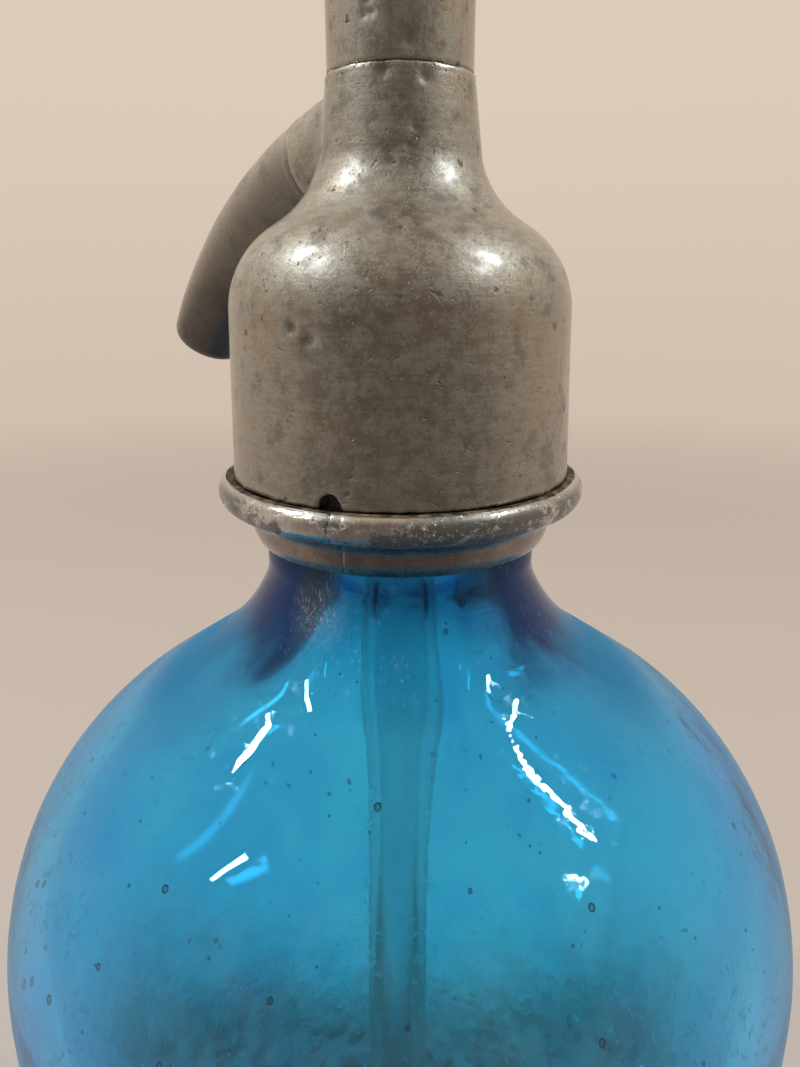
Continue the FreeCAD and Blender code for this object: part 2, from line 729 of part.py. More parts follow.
pin_hole = rod("pin_hole", s.pin_radius + s.running_gap, ears_width + 2 * CLEAR,
               x=s.pivot_offset, y=-(ears_width / 2) - CLEAR, z=pivot_height,
               axis=(-1, 0, 0), angle=as_size(90))
upper_column = carved("upper_column", joined("upper_casting", [upper_blank, ears_blank]),
                      [upper_hollow, ear_slot, pin_hole])
column_gasket = ring("column_gasket", spout_chamber_radius, spigot_radius, spigot_top, socket_top)

# Packing round the stem, with the brass washer that carries the spring.

packing_bore = s.stem_radius + s.running_gap
packing_outer = packing_chamber_radius - s.packing_gap
middle = floor_top + s.lower_packing
packing_top = middle + s.upper_packing
washer_top = packing_top + s.washer_thickness
stem_packing_lower = ring("stem_packing_lower", packing_bore, packing_outer, floor_top, middle)
stem_packing_upper = ring("stem_packing_upper", packing_bore, packing_outer, middle, packing_top)
packing_washer = ring("packing_washer", packing_bore, packing_outer, packing_top, washer_top)

# Return spring: an open coil between the washer and the collar on the stem.

coil_low = washer_top + s.spring_wire / 2
coil_rise = s.spring_length - s.spring_wire
return_spring = new_body("return_spring")
coil_section = sketch_on(return_spring, "XZ_Plane", "coil_section")
wire_middle = Vector(s.spring_mean_radius.value, coil_low.value, 0)
coil_section.addGeometry(Part.Circle(wire_middle, Vector(0, 0, 1), s.spring_wire.value / 2))
hold(coil_section, "DistanceX", 0, 3, s.spring_mean_radius, "coil")
hold(coil_section, "DistanceY", 0, 3, coil_low, "start")
hold(coil_section, "Radius", 0, 0, s.spring_wire / 2, "wire")
doc.recompute()
coil = return_spring.newObject("PartDesign::AdditiveHelix", "coil")
coil.Profile = coil_section
coil.ReferenceAxis = (coil_section, ["V_Axis"])
coil.Mode = "height-turns-angle"
coil.Height = coil_rise.value
coil.Turns = s.spring_turns.value
coil.Angle = 0
coil.setExpression("Height", coil_rise.text)
coil.setExpression("Turns", s.spring_turns.text)

# Stem, with its collar and button. It rises through the seat, the spout chamber, the packing and the cap.

collar_low = washer_top + s.spring_length + s.spring_gap
collar_top = collar_low + s.collar_thickness
button_top = pivot_height - s.lever_nose_radius - s.button_gap
button_low = button_top - s.button_height
stem_top = button_top - s.button_height / 2
valve_stem = turned("valve_stem", [
    (0, stem_low),
    (s.stem_radius, stem_low),
    (s.stem_radius, disc_top),
    (s.stem_flange_radius, disc_top),
    (s.stem_flange_radius, disc_top + s.stem_flange),
    (s.stem_radius, disc_top + s.stem_flange),
    (s.stem_radius, stem_top),
    (0, stem_top),
])
spring_collar = ring("spring_collar", s.stem_radius, s.collar_radius, collar_low, collar_top)
stem_button = turned("stem_button", [
    (s.stem_radius, button_low),
    (s.button_radius - s.button_edge, button_low),
    (s.button_radius, button_low + s.button_edge, s.button_edge, LEFT),
    (s.button_radius, button_top - s.button_edge),
    (s.button_radius - s.button_edge, button_top, s.button_edge, LEFT),
    (0, button_top),
    (0, stem_top),
    (s.stem_radius, stem_top),
])

# Cap that closes the column and guides the stem.

cap_plug = rod("cap_plug", packing_chamber_radius - s.thread_gap, s.cap_plug + s.cap_height / 2,
               z=upper_top - s.cap_plug)
top_cap = carved("top_cap", joined("cap_blank", [
    hex_blank("cap", s.cap_across, upper_top, s.cap_height), cap_plug]),
    [rod("cap_hole", guide_radius, s.cap_plug + s.cap_height + 2 * CLEAR,
         z=upper_top - s.cap_plug - CLEAR)])

# Lever. It is drawn from the pivot, with X along the handle: a flat arm that bends down to a wide thumb
# end, a hub on the pin and a round nose over the stem's button.

arm_top = s.lever_hub_radius
arm_low = arm_top - s.lever_thickness
bend_centre = arm_top - s.lever_bend
inner_bend = s.lever_bend - s.lever_thickness
end_x = s.lever_end * cosine(s.lever_turn)
end_z = s.lever_end * sine(s.lever_turn)
outer_x = s.lever_flat + s.lever_bend * sine(s.lever_turn)
outer_z = bend_centre + s.lever_bend * cosine(s.lever_turn)
inner_x = s.lever_flat + inner_bend * sine(s.lever_turn)
inner_z = bend_centre + inner_bend * cosine(s.lever_turn)
lever_side = plate("lever_side", [
    (0, arm_low),
    (s.lever_flat, arm_low),
    (inner_x, inner_z, inner_bend, RIGHT),
    (inner_x + end_x, inner_z - end_z),
    (outer_x + end_x, outer_z - end_z, s.lever_thickness / 2, LEFT),
    (outer_x, outer_z),
    (s.lever_flat, arm_top, s.lever_bend, LEFT),
    (0, arm_top),
], s.lever_tip_width)
tip_radius = s.lever_tip_width / 2
tip_x = outer_x + end_x + s.lever_thickness - tip_radius
hub_half = s.lever_hub_width / 2
lever_plan = plate("lever_plan", [
    (0, -hub_half),
    (s.lever_waist, -hub_half),
    (tip_x, -tip_radius),
    (tip_x + tip_radius, 0, tip_radius, LEFT),
    (tip_x, tip_radius, tip_radius, LEFT),
    (s.lever_waist, hub_half),
    (0, hub_half),
], (s.lever_bend + s.lever_end) * 2, "XY_Plane")
crosswise = {"axis": (1, 0, 0), "angle": as_size(90), "y": hub_half}
lever_hub = rod("lever_hub", s.lever_hub_radius, s.lever_hub_width, **crosswise)
lever_nose = rod("lever_nose", s.lever_nose_radius, s.lever_hub_width, x=s.pivot_offset, **crosswise)
lever_hole = rod("lever_hole", s.pin_radius + s.running_gap, s.lever_hub_width + 2 * CLEAR,
                 axis=(1, 0, 0), angle=as_size(90), y=hub_half + CLEAR)
lever = carved("lever", joined("lever_blank", [
    shared("lever_arm", [lever_side, lever_plan]), lever_hub, lever_nose]), [lever_hole])
place(lever, x=s.pivot_offset, z=pivot_height, angle=HALF_TURN)

# Pivot screw with a slotted head, and its nut on the far ear. Both are drawn along Z and laid across.

lever_pin_blank = turned("lever_pin_blank", [
    (0, -(ears_width / 2) - s.pin_head_height),
    (s.pin_head_radius, -(ears_width / 2) - s.pin_head_height),
    (s.pin_head_radius, -(ears_width / 2)),
    (s.pin_radius, -(ears_width / 2)),
    (s.pin_radius, ears_width / 2 + s.pin_nut_height + s.pin_tail),
    (0, ears_width / 2 + s.pin_nut_height + s.pin_tail),
])
pin_slot = bar("pin_slot", s.pin_head_radius * 2 + 2 * CLEAR, s.pin_slot_width, s.pin_slot_depth + CLEAR,
               x=-s.pin_head_radius - CLEAR, y=-(s.pin_slot_width / 2),
               z=-(ears_width / 2) - s.pin_head_height - CLEAR)
across = {"x": s.pivot_offset, "z": pivot_height, "axis": (-1, 0, 0), "angle": as_size(90)}
lever_pin = place(carved("lever_pin", lever_pin_blank, [pin_slot]), **across)
pin_nut = carved("pin_nut", hex_blank("pin_nut", s.pin_nut_across, ears_width / 2, s.pin_nut_height),
                 [rod("pin_nut_hole", s.pin_radius, s.pin_nut_height + 2 * CLEAR,
                      z=ears_width / 2 - CLEAR)])
place(pin_nut, **across)

PARTS = [
    glass_bottle, neck_ring_left, neck_ring_right, neck_gasket, tube_holder, tube_grommet, dip_tube,
    head_gasket, head_body, spout, valve_seat, valve_disc, valve_cup, valve_nut, valve_stem,
    upper_column, column_gasket, stem_packing_lower, stem_packing_upper, packing_washer, return_spring,
    spring_collar, stem_button, top_cap, lever, lever_pin, pin_nut,
]

doc.recompute()
for thing in doc.Objects:
    if "Invalid" in thing.State or "Error" in thing.State:
        raise RuntimeError(f"{thing.Label} failed: {thing.State}")
for part in PARTS:
    if part.Shape.isNull() or not part.Shape.isValid():
        raise RuntimeError(f"{part.Label} has no valid shape")

os.makedirs("parts", exist_ok=True)
for part in PARTS:
    part.Shape.exportStep(os.path.join("parts", part.Label + ".step"))
    box = part.Shape.BoundBox
    print(f"{part.Label:20s} solids {len(part.Shape.Solids)}  volume {part.Shape.Volume:10.1f}  "
          f"x {box.XMin:7.2f} {box.XMax:7.2f}  y {box.YMin:7.2f} {box.YMax:7.2f}  "
          f"z {box.ZMin:7.2f} {box.ZMax:7.2f}")
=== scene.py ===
import math

import bmesh
import bpy
import numpy as np
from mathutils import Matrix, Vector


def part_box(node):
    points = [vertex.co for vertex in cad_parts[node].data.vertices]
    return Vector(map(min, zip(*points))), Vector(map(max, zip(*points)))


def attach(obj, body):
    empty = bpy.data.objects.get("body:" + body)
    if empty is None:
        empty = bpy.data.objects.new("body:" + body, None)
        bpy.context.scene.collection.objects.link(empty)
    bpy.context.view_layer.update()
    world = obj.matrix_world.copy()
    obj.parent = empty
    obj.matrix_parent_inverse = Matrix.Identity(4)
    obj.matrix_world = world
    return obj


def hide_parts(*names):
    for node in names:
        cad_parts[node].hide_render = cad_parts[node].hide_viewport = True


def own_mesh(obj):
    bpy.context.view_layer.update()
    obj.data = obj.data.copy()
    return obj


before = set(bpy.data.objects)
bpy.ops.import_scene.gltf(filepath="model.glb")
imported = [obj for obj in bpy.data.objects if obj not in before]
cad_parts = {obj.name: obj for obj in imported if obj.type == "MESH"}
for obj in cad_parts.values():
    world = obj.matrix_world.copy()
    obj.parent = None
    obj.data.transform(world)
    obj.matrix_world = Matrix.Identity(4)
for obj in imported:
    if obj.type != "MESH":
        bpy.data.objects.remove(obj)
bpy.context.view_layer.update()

MM = 0.001

# Blown glass bottle. It is thick turquoise glass, blown into a mould and tooled at the neck, so its walls
# are uneven inside and full of small bubbles. Scale from hard water has dried on low down inside.


class Paint:
    """One output in a material's nodes. Sums and products of paints add that material's Math nodes."""

    def __init__(self, tree, socket=None):
        self.tree = tree
        self.socket = socket

    def node(self, kind, inputs=None, output=0, **settings):
        """Any node: its settings are set first, and then its inputs, as numbers or paints."""
        made = self.tree.nodes.new("ShaderNode" + kind)
        for setting, choice in settings.items():
            setattr(made, setting, choice)
        for socket, value in (inputs or {}).items():
            if isinstance(value, Paint):
                self.tree.links.new(value.socket, made.inputs[socket])
            else:
                made.inputs[socket].default_value = value
        return Paint(self.tree, made.outputs[output] if len(made.outputs) else None)

    def math(self, operation, first, second=0.0):
        """One Math node. The operators below come here."""
        return self.node("Math", {0: first, 1: second}, operation=operation)

    def __add__(self, other):
        return self.math("ADD", self, other)

    def __radd__(self, other):
        return self.math("ADD", other, self)

    def __sub__(self, other):
        return self.math("SUBTRACT", self, other)

    def __rsub__(self, other):
        return self.math("SUBTRACT", other, self)

    def __mul__(self, other):
        return self.math("MULTIPLY", self, other)

    def __rmul__(self, other):
        return self.math("MULTIPLY", other, self)

    def __truediv__(self, other):
        return self.math("DIVIDE", self, other)

    def __neg__(self):
        return self.math("MULTIPLY", self, -1.0)

    def rise(self, low, high):
        """0 below low, 1 above high and smooth between; low may be the larger."""
        return self.node("MapRange", {"Value": self, "From Min": low, "From Max": high},
                         interpolation_type="SMOOTHSTEP")

    def mixed(self, amount, first, second):
        """A colour between two others."""
        first, second = ((*c, 1) if isinstance(c, tuple) else c for c in (first, second))
        return self.node("Mix", {0: amount, 6: first, 7: second}, 2, data_type="RGBA")

    def place(self, stretch=(1, 1, 1)):
        """Where a point is on the object, in millimetres, with each axis stretched."""
        here = self.node("TexCoord", output="Object")
        scale = tuple(1000 * s for s in stretch)
        return self.node("VectorMath", {0: here, 1: scale}, operation="MULTIPLY")

    def noise(self, where, scale, detail=3.0, roughness=0.5, shift=0.0):
        """Noise from 0 to 1, with about scale lumps in each millimetre. Each shift is another pattern."""
        return self.node("TexNoise", {"Vector": where, "W": shift, "Scale": scale, "Detail": detail,
                                      "Roughness": roughness}, noise_dimensions="4D")

    def cells(self, where, scale):
        """Distance to the nearest of scattered points."""
        return self.node("TexVoronoi", {"Vector": where, "Scale": scale})

    def bump(self, height, depth):
        """A normal from a height between 0 and 1 that stands for a depth in millimetres."""
        return self.node("Bump", {"Height": height, "Strength": 1.0, "Distance": depth * MM})

    def shown(self, surface, volume=None):
        """The end of the paints: what the surface is, and what fills the piece."""
        self.node("OutputMaterial", {"Surface": surface, **({"Volume": volume} if volume else {})})


def finish(name):
    """A new material, and the start of its paints."""
    material = bpy.data.materials.new(name)
    material.use_nodes = True
    material.node_tree.nodes.clear()
    return material, Paint(material.node_tree)


def arc(middle_r, middle_z, radius, start, end, steps=10):
    """Points along an arc in a section, from one angle to another in degrees, in millimetres."""
    angles = np.radians(np.linspace(start, end, steps + 1))
    return [(middle_r + radius * math.cos(a), middle_z + radius * math.sin(a)) for a in angles]


def drawn(points, longest=3.4):
    """A section with its long straight stretches cut up, and with no two points in one place."""
    section = [points[0]]
    for point in points[1:]:
        start = section[-1]
        gap = math.dist(start, point)
        if gap > 0.05:
            cuts = math.ceil(gap / longest)
            section += [tuple(a + (b - a) * n / cuts for a, b in zip(start, point))
                        for n in range(1, cuts + 1)]
    return section


def spun(section, segments):
    """Points and faces of a section turned about the Z axis. It closes in a pole where it meets the axis."""
    poles = section[0][0] < 1e-6 and section[-1][0] < 1e-6
    rings = section[1:-1] if poles else section
    turn = np.linspace(0, 2 * math.pi, segments, endpoint=False)
    points = [(r * math.cos(a), r * math.sin(a), z) for r, z in rings for a in turn]
    faces = []
    for row in range(len(rings) - 1 if poles else len(rings)):
        upper = (row + 1) % len(rings)
        for n in range(segments):
            after = (n + 1) % segments
            faces.append((row * segments + n, row * segments + after,
                          upper * segments + after, upper * segments + n))
    if poles:
        points += [(0, 0, section[0][1]), (0, 0, section[-1][1])]
        top = (len(rings) - 1) * segments
        for n in range(segments):
            after = (n + 1) % segments
            faces.append((len(points) - 2, after, n))
            faces.append((len(points) - 1, top + n, top + after))
    return np.array(points), faces


def waves(points, wavelength, seed, count=16):
    """A smooth random height between about -1 and 1 over points in space."""
    chance = np.random.default_rng(seed)
    way = chance.normal(size=(count, 3))
    way *= (2 * math.pi / wavelength) / np.linalg.norm(way, axis=1)[:, None]
    way *= chance.uniform(0.6, 1.5, count)[:, None]
    return np.sin(points @ way.T + chance.uniform(0, 6.3, count)).sum(1) / count ** 0.5


def step(value, low, high):
    """0 below low, 1 above high and smooth between."""
    share = np.clip((value - low) / (high - low), 0, 1)
    return share * share * (3 - 2 * share)


def linked(name, data):
    """A new object of the scene."""
    made = bpy.data.objects.new(name, data)
    bpy.context.scene.collection.objects.link(made)
    return made


def solid(name, points, faces, material, attributes=None):
    """A closed, smooth-shaded piece from points in millimetres, with its faces turned outwards."""
    mesh = bpy.data.meshes.new(name)
    mesh.from_pydata((np.asarray(points) * MM).tolist(), [], faces)
    shell = bmesh.new()
    shell.from_mesh(mesh)
    bmesh.ops.recalc_face_normals(shell, faces=shell.faces)
    shell.to_mesh(mesh)
    shell.free()
    for attribute, values in (attributes or {}).items():
        mesh.attributes.new(attribute, "FLOAT", "POINT").data.foreach_set(
            "value", np.asarray(values, np.float32))
    mesh.shade_smooth()
    mesh.materials.append(material)
    return linked(name, mesh)


def mounted(piece, body, slot, *nodes):
    """The piece moves with its body and stands for its CAD nodes, which are hidden. The slot is not used."""
    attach(piece, body)
    if nodes:
        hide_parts(*nodes)
    return piece


bottle_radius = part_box("glass_bottle")[1].x / MM
lip_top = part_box("glass_bottle")[1].z / MM
glass_wall = 5.0
wall_top = 123.63                 # where the straight wall ends and the shoulder begins
shoulder_round = 38.8
mouth_radius = 11.3
neck_radius = 17.5
waist_radius = 15.2               # of the groove that the neck ring grips
lip_radius = 16.6
lip_edge = 1.3                    # the rounding of the lip's two edges
groove_low, groove_high = 181.8, 189.4
foot_round = 8.0
punt_rise, punt_round = 5.0, 154.6        # the shallow dome under the foot: its height and its radius
floor_rise, floor_round = 14.0, 202.0     # the same dome inside
punt_angle, floor_angle = 75.4, 78.58     # where the two domes end, in degrees above level
corner_round, corner_level = 10.0, 20.0   # where the wall meets the floor inside
mouth_round = 20.0                # where the mouth's bore opens into the shoulder
bottle_segments = 224
cone_tilt = 55.8                  # the way the shoulder's cone faces, in degrees above level
flare_end = 26.0                  # and the way the hollow rounding above it faces where it ends
fall = math.tan(math.radians(90 - cone_tilt))
up, out = math.sin(math.radians(cone_tilt)), math.cos(math.radians(cone_tilt))
shoulder_middle = bottle_radius - shoulder_round
neck_foot = 176.4
neck_round = 7.0                  # the rounding between the neck's foot and the hollow below it
flare_round = 26.0
neck_straight = 2.2
lip_height = 6.0
flare_middle = (neck_radius + 24.08, neck_foot + 8.33)
inner_round = shoulder_round - glass_wall
mouth_run = shoulder_middle + inner_round * out - mouth_radius - mouth_round * (1 - out)
mouth_middle = (mouth_radius + mouth_round, wall_top + (inner_round + mouth_round) * up + mouth_run * fall)
outside = drawn(
    arc(0, punt_rise - punt_round, punt_round, 90, punt_angle, 14)
    + arc(bottle_radius - foot_round, foot_round, foot_round, -90, 0)
    + arc(shoulder_middle, wall_top, shoulder_round, 0, cone_tilt, 26)
    + arc(*flare_middle, flare_round, 180 + cone_tilt, 180 + flare_end, 16)
    + arc(neck_radius + neck_round, neck_foot, neck_round, 180 + flare_end, 180, 6)
    + [(neck_radius, neck_foot + neck_straight), (waist_radius, groove_low),
       (waist_radius, groove_high), (lip_radius, lip_top - lip_height)]
    + arc(lip_radius - lip_edge, lip_top - lip_edge, lip_edge, 0, 90, 5)
    + arc(mouth_radius + lip_edge, lip_top - lip_edge, lip_edge, 90, 180, 5))
inside = drawn(
    arc(*mouth_middle, mouth_round, 180, 180 + cone_tilt, 20)
    + arc(shoulder_middle, wall_top, inner_round, cone_tilt, 0, 24)
    + arc(bottle_radius - glass_wall - corner_round, corner_level, corner_round, 0, -90)
    + arc(0, floor_rise - floor_round, floor_round, floor_angle, 90, 14))
outside[0] = (0, outside[0][1])
inside[-1] = (0, inside[-1][1])
bottle_points, bottle_faces = spun(drawn(outside + inside), bottle_segments)
height = bottle_points[:, 2]
inner = np.zeros(len(bottle_points))
inner[(len(outside) - 1) * bottle_segments:-2] = 1
inner[-1] = 1
outward = bottle_points.copy()
outward[:, 2] = np.where(height > wall_top, height - wall_top, 0) * 0.9
outward /= np.maximum(np.linalg.norm(outward, axis=1), 1)[:, None]
free = step(height, 9, 22) * step(-height, -177, -168)
inner_free = step(height, 11, 30) * step(-height, -190, -176)
turned_by = np.arctan2(bottle_points[:, 1], bottle_points[:, 0])
folds = np.sin(turned_by * 7 + 0.8 + waves(bottle_points, 34, 5)) * step(height, 150, 168)
push = np.where(
    inner > 0.5,
    inner_free * (0.13 * waves(bottle_points, 32, 1) + 0.012 * waves(bottle_points, 9, 2) + 0.34 * folds),
    -free * (0.05 + 0.05 * np.abs(waves(bottle_points, 40, 3)) + 0.010 * waves(bottle_points, 7, 4)))
bottle_points = bottle_points + outward * push[:, None]

side_way = (-0.643, -0.766, 0.0)   # level, and across the front of the bottle
glass, paint = finish("turquoise_glass")
at = paint.place()

# What sits on the inner face: a film and a crust of scale below an uneven line, higher at the front.
inner_face = paint.node("Attribute", output="Fac", attribute_name="inner")
outer_face = 1.0 - inner_face
level = paint.node("SeparateXYZ", {0: at}, 2)
clumps = paint.noise(at, 0.16, 4.0, 0.6)
lumps = paint.noise(at, 0.33, 4.0, 0.6, 5.0)
flakes = (paint.cells(at, 0.42) + paint.noise(at, 1.1, 3.0, 0.6, 8.0) * 0.6).rise(0.54, 0.44)
flakes = flakes * paint.noise(at, 0.2, 2.0, 0.5, 6.0).rise(0.44, 0.58)
specks = paint.noise(at, 0.75, 4.0, 0.7, 3.0)
across = paint.node("VectorMath", {0: at, 1: side_way}, "Value", operation="DOT_PRODUCT")
sideways = paint.math("ABSOLUTE", across)
scale_line = (level + clumps * 64.0 - sideways * sideways * 0.016).rise(86.0, 60.0)
crust = (lumps * 0.45 + specks * 0.2 + clumps * 0.6).rise(0.54, 0.76)
scale_on = inner_face * scale_line * paint.math("MAXIMUM", crust, flakes)
film_on = inner_face * (level + clumps * 34.0 - sideways * sideways * 0.021).rise(84.0, 36.0) * 0.62

# Scuffs and fine scratches on the outer face, most of them round the neck.
scuffs = paint.noise(paint.place((1.0, 1.0, 0.3)), 2.4, 8.0, 0.75, 9.0)
near_neck = level.rise(160.0, 172.0) * outer_face * paint.noise(at, 0.12, 2.0, 0.5, 4.0).rise(0.46, 0.6)
hairs = paint.noise(paint.place((2.6, 2.6, 0.5)), 1.6, 4.0, 0.7, 10.0).rise(0.5, 0.66)
scrape_place = (-5.3, 17.1, 174.0)
scraped = paint.node("VectorMath", {0: at, 1: scrape_place}, "Value", operation="DISTANCE").rise(5.4, 0.5)
scuffed = near_neck * scuffs.rise(0.54, 0.72) * 0.32 + scraped * outer_face * (hairs * 0.3 + 0.05)
rubbed = paint.noise(at, 3.0, 3.0, 0.6, 7.0)
edgewise = paint.node("LayerWeight", {"Blend": 0.5}, "Facing")

# Colour of the glass: darker towards the neck, paler where it was drawn out.
uneven_line = paint.noise(paint.place((1.0, 1.0, 0.35)), 0.16, 4.0, 0.55, 12.0)
neck_shade = (level + uneven_line * 7.0).rise(172.0, 180.5)
drawn_out = paint.noise(paint.place((1.0, 1.0, 0.6)), 0.035, 4.0, 0.55, 15.0).rise(0.44, 0.62)
melt = paint.mixed(drawn_out * outer_face, (0.50, 0.89, 0.94), (0.24, 0.66, 0.87))
matte = paint.noise(at, 0.9, 6.0, 0.7, 17.0).rise(0.56, 0.68)
matte = matte * paint.noise(at, 0.09, 2.0, 0.5, 18.0).rise(0.48, 0.6)
flank = sideways / paint.node("VectorMath", {0: paint.place((1, 1, 0))}, "Value", operation="LENGTH")
# Painted shade: a navy layer on the two flanks of the neck, at fixed places on the glass.
painted_flank_shade = (level + uneven_line * 9.0).rise(167.5, 176.0) * (flank + uneven_line * 0.4).rise(0.70, 0.92) * outer_face
# Painted light: a blue glow on the two flanks of the shoulder.
painted_flank_light = level.rise(154.0, 161.0) * level.rise(174.0, 167.0) * flank.rise(0.78, 0.97)
clear = paint.node("BsdfPrincipled", {
    "Base Color": paint.mixed(neck_shade * outer_face * 0.95, melt, (0.02, 0.10, 0.19)),
    "IOR": 1.51, "Transmission Weight": 1.0, "Specular Tint": (0.5, 0.85, 1.0, 1),
    "Roughness": 0.012 + (0.03 * rubbed.rise(0.62, 0.8) + 0.22 * matte) * outer_face + 0.028 * inner_face,
    "Normal": paint.bump(paint.noise(at, 0.22, 3.0, 0.5, 1.0) * (0.5 + 0.5 * across.rise(-4.0, 14.0))
                         + paint.noise(at, 1.4, 3.0, 0.6, 19.0) * matte * 0.5
                         + paint.noise(at, 0.3, 2.0, 0.5, 20.0) * across.rise(-4.0, 14.0) * 0.9,
                         0.035)})

# The layers over the clear glass: film, painted blue light at the edges and on the shoulder's flanks, painted
# navy shade on the two flanks of the neck, dust and scale. The lamps' light goes through it by an open way,
# so that its shadow is pale.
chalk_colour = paint.mixed(specks.rise(0.48, 0.64), (0.13, 0.105, 0.06), (0.42, 0.39, 0.29))
chalk_colour = paint.mixed(flakes, chalk_colour, (0.88, 0.87, 0.80))
chalk_colour = paint.mixed(inner_face, (0.75, 0.77, 0.78), chalk_colour)
chalk = paint.node("BsdfPrincipled", {"Base Color": chalk_colour, "Roughness": 0.85})
murk = paint.node("BsdfPrincipled", {"Base Color": (0.30, 0.245, 0.14, 1), "Roughness": 0.6})
painted_navy_shade = paint.node("BsdfPrincipled", {"Base Color": (0.005, 0.026, 0.105, 1), "Roughness": 0.06,
                                     "Specular IOR Level": 0.18, "Specular Tint": (0.5, 0.75, 1.0, 1)})
surface = paint.node("MixShader", {0: film_on, 1: clear, 2: murk})
# Painted light: a lit blue where the glass turns away at its edges, and on the shoulder's flanks.
painted_edge_light = paint.node("BsdfDiffuse", {"Color": (0.034, 0.24, 0.44, 1)})
painted_light_on = paint.math("MAXIMUM", edgewise.rise(0.58, 0.95) * 0.6, painted_flank_light * 0.85) * outer_face
surface = paint.node("MixShader", {0: painted_light_on, 1: surface, 2: painted_edge_light})
surface = paint.node("MixShader", {0: painted_flank_shade * 0.92, 1: surface, 2: painted_navy_shade})
dust = (level + clumps * 24.0).rise(172.0, 146.0) * 0.05 * outer_face
surface = paint.node("MixShader", {0: scale_on * 0.82 + scuffed + dust, 1: surface, 2: chalk})
in_shadow = paint.node("LightPath", output="Is Shadow Ray")
open_way = paint.node("BsdfTransparent", {0: (0.62, 0.88, 0.95, 1)})
surface = paint.node("MixShader", {0: in_shadow * (1.0 - scale_on * 0.8), 1: surface, 2: open_way})
paint.shown(surface, paint.node("VolumeAbsorption", {"Color": (0.0, 0.80, 0.976, 1), "Density": 190.0}))
mounted(solid("blown_bottle", bottle_points, bottle_faces, glass, {"inner": inner}),
        "siphon", "blue_glass", "glass_bottle")

# Bubbles caught in the glass wall. Each is a small ball of air, most under a millimetre across, and its
# rim looks dark because it bends the light away.

bubble_finish, paint = finish("air_bubble")
facing = paint.node("LayerWeight", {"Blend": 0.5}, "Facing")
air = paint.node("BsdfTransparent", {0: (1, 1, 1, 1)})
rim = paint.node("BsdfPrincipled", {"Base Color": (0.02, 0.13, 0.19, 1), "Metallic": 1.0, "Roughness": 0.12})
paint.shown(paint.node("MixShader", {0: 0.22 + facing.rise(0.12, 0.6) * 0.7, 1: air, 2: rim}))

bubble_tree = bpy.data.node_groups.new("scattered_bubbles", "GeometryNodeTree")
bubble_tree.interface.new_socket("Wall", in_out="INPUT", socket_type="NodeSocketGeometry")
for label, amount in (
        ("Density", 13000.0), ("Depth", 1.5 * MM), ("Smallest", 0.13 * MM), ("Largest", 0.5 * MM)):
    socket = bubble_tree.interface.new_socket(label, in_out="INPUT", socket_type="NodeSocketFloat")
    socket.default_value = amount
bubble_tree.interface.new_socket("Bubbles", in_out="OUTPUT", socket_type="NodeSocketGeometry")


def piece_of(tree, kind, inputs=None, **settings):
    """Add a node to a geometry tree, with its settings and its inputs as numbers or sockets."""
    made = tree.nodes.new(kind)
    for setting, choice in settings.items():
        setattr(made, setting, choice)
    for socket, value in (inputs or {}).items():
        if isinstance(value, bpy.types.NodeSocket):
            tree.links.new(value, made.inputs[socket])
        else:
            made.inputs[socket].default_value = value
    return made


entry = piece_of(bubble_tree, "NodeGroupInput")
spread = piece_of(bubble_tree, "GeometryNodeDistributePointsOnFaces",
                  {"Mesh": entry.outputs["Wall"], "Density": entry.outputs["Density"], "Seed": 11})
depth = piece_of(bubble_tree, "FunctionNodeRandomValue", {2: -1.0, 3: 1.0, "Seed": 2}, data_type="FLOAT")
inwards = piece_of(bubble_tree, "ShaderNodeMath", {0: depth.outputs[1], 1: entry.outputs["Depth"]},
                   operation="MULTIPLY")
offset = piece_of(bubble_tree, "ShaderNodeVectorMath",
                  {0: spread.outputs["Normal"], "Scale": inwards.outputs[0]}, operation="SCALE")
moved = piece_of(bubble_tree, "GeometryNodeSetPosition",
                 {"Geometry": spread.outputs["Points"], "Offset": offset.outputs[0]})
draw = piece_of(bubble_tree, "FunctionNodeRandomValue", {2: 0.0, 3: 1.0, "Seed": 5}, data_type="FLOAT")
rare = piece_of(bubble_tree, "ShaderNodeMath", {0: draw.outputs[1], 1: 2.6}, operation="POWER")
size = piece_of(bubble_tree, "ShaderNodeMapRange",
                {"Value": rare.outputs[0], "To Min": entry.outputs["Smallest"],
                 "To Max": entry.outputs["Largest"]})
ball = piece_of(bubble_tree, "GeometryNodeMeshIcoSphere", {"Radius": 1.0, "Subdivisions": 2})
oval = piece_of(bubble_tree, "GeometryNodeTransform", {"Geometry": ball.outputs[0], "Scale": (1.0, 1.0, 1.4)})
placed = piece_of(bubble_tree, "GeometryNodeInstanceOnPoints",
                  {"Points": moved.outputs[0], "Instance": oval.outputs[0], "Scale": size.outputs[0]})
real = piece_of(bubble_tree, "GeometryNodeRealizeInstances", {0: placed.outputs[0]})
painted = piece_of(bubble_tree, "GeometryNodeSetMaterial", {0: real.outputs[0], "Material": bubble_finish})
smooth = piece_of(bubble_tree, "GeometryNodeSetShadeSmooth", {0: painted.outputs[0]})
piece_of(bubble_tree, "NodeGroupOutput", {0: smooth.outputs[0]})


def settled(carrier, name):
    """The plain mesh that a carrier's modifiers make. The carrier itself is removed."""
    bpy.context.view_layer.update()
    mesh = bpy.data.meshes.new_from_object(carrier.evaluated_get(bpy.context.evaluated_depsgraph_get()))
    bpy.data.objects.remove(carrier)
    mesh.name = name
    return mesh


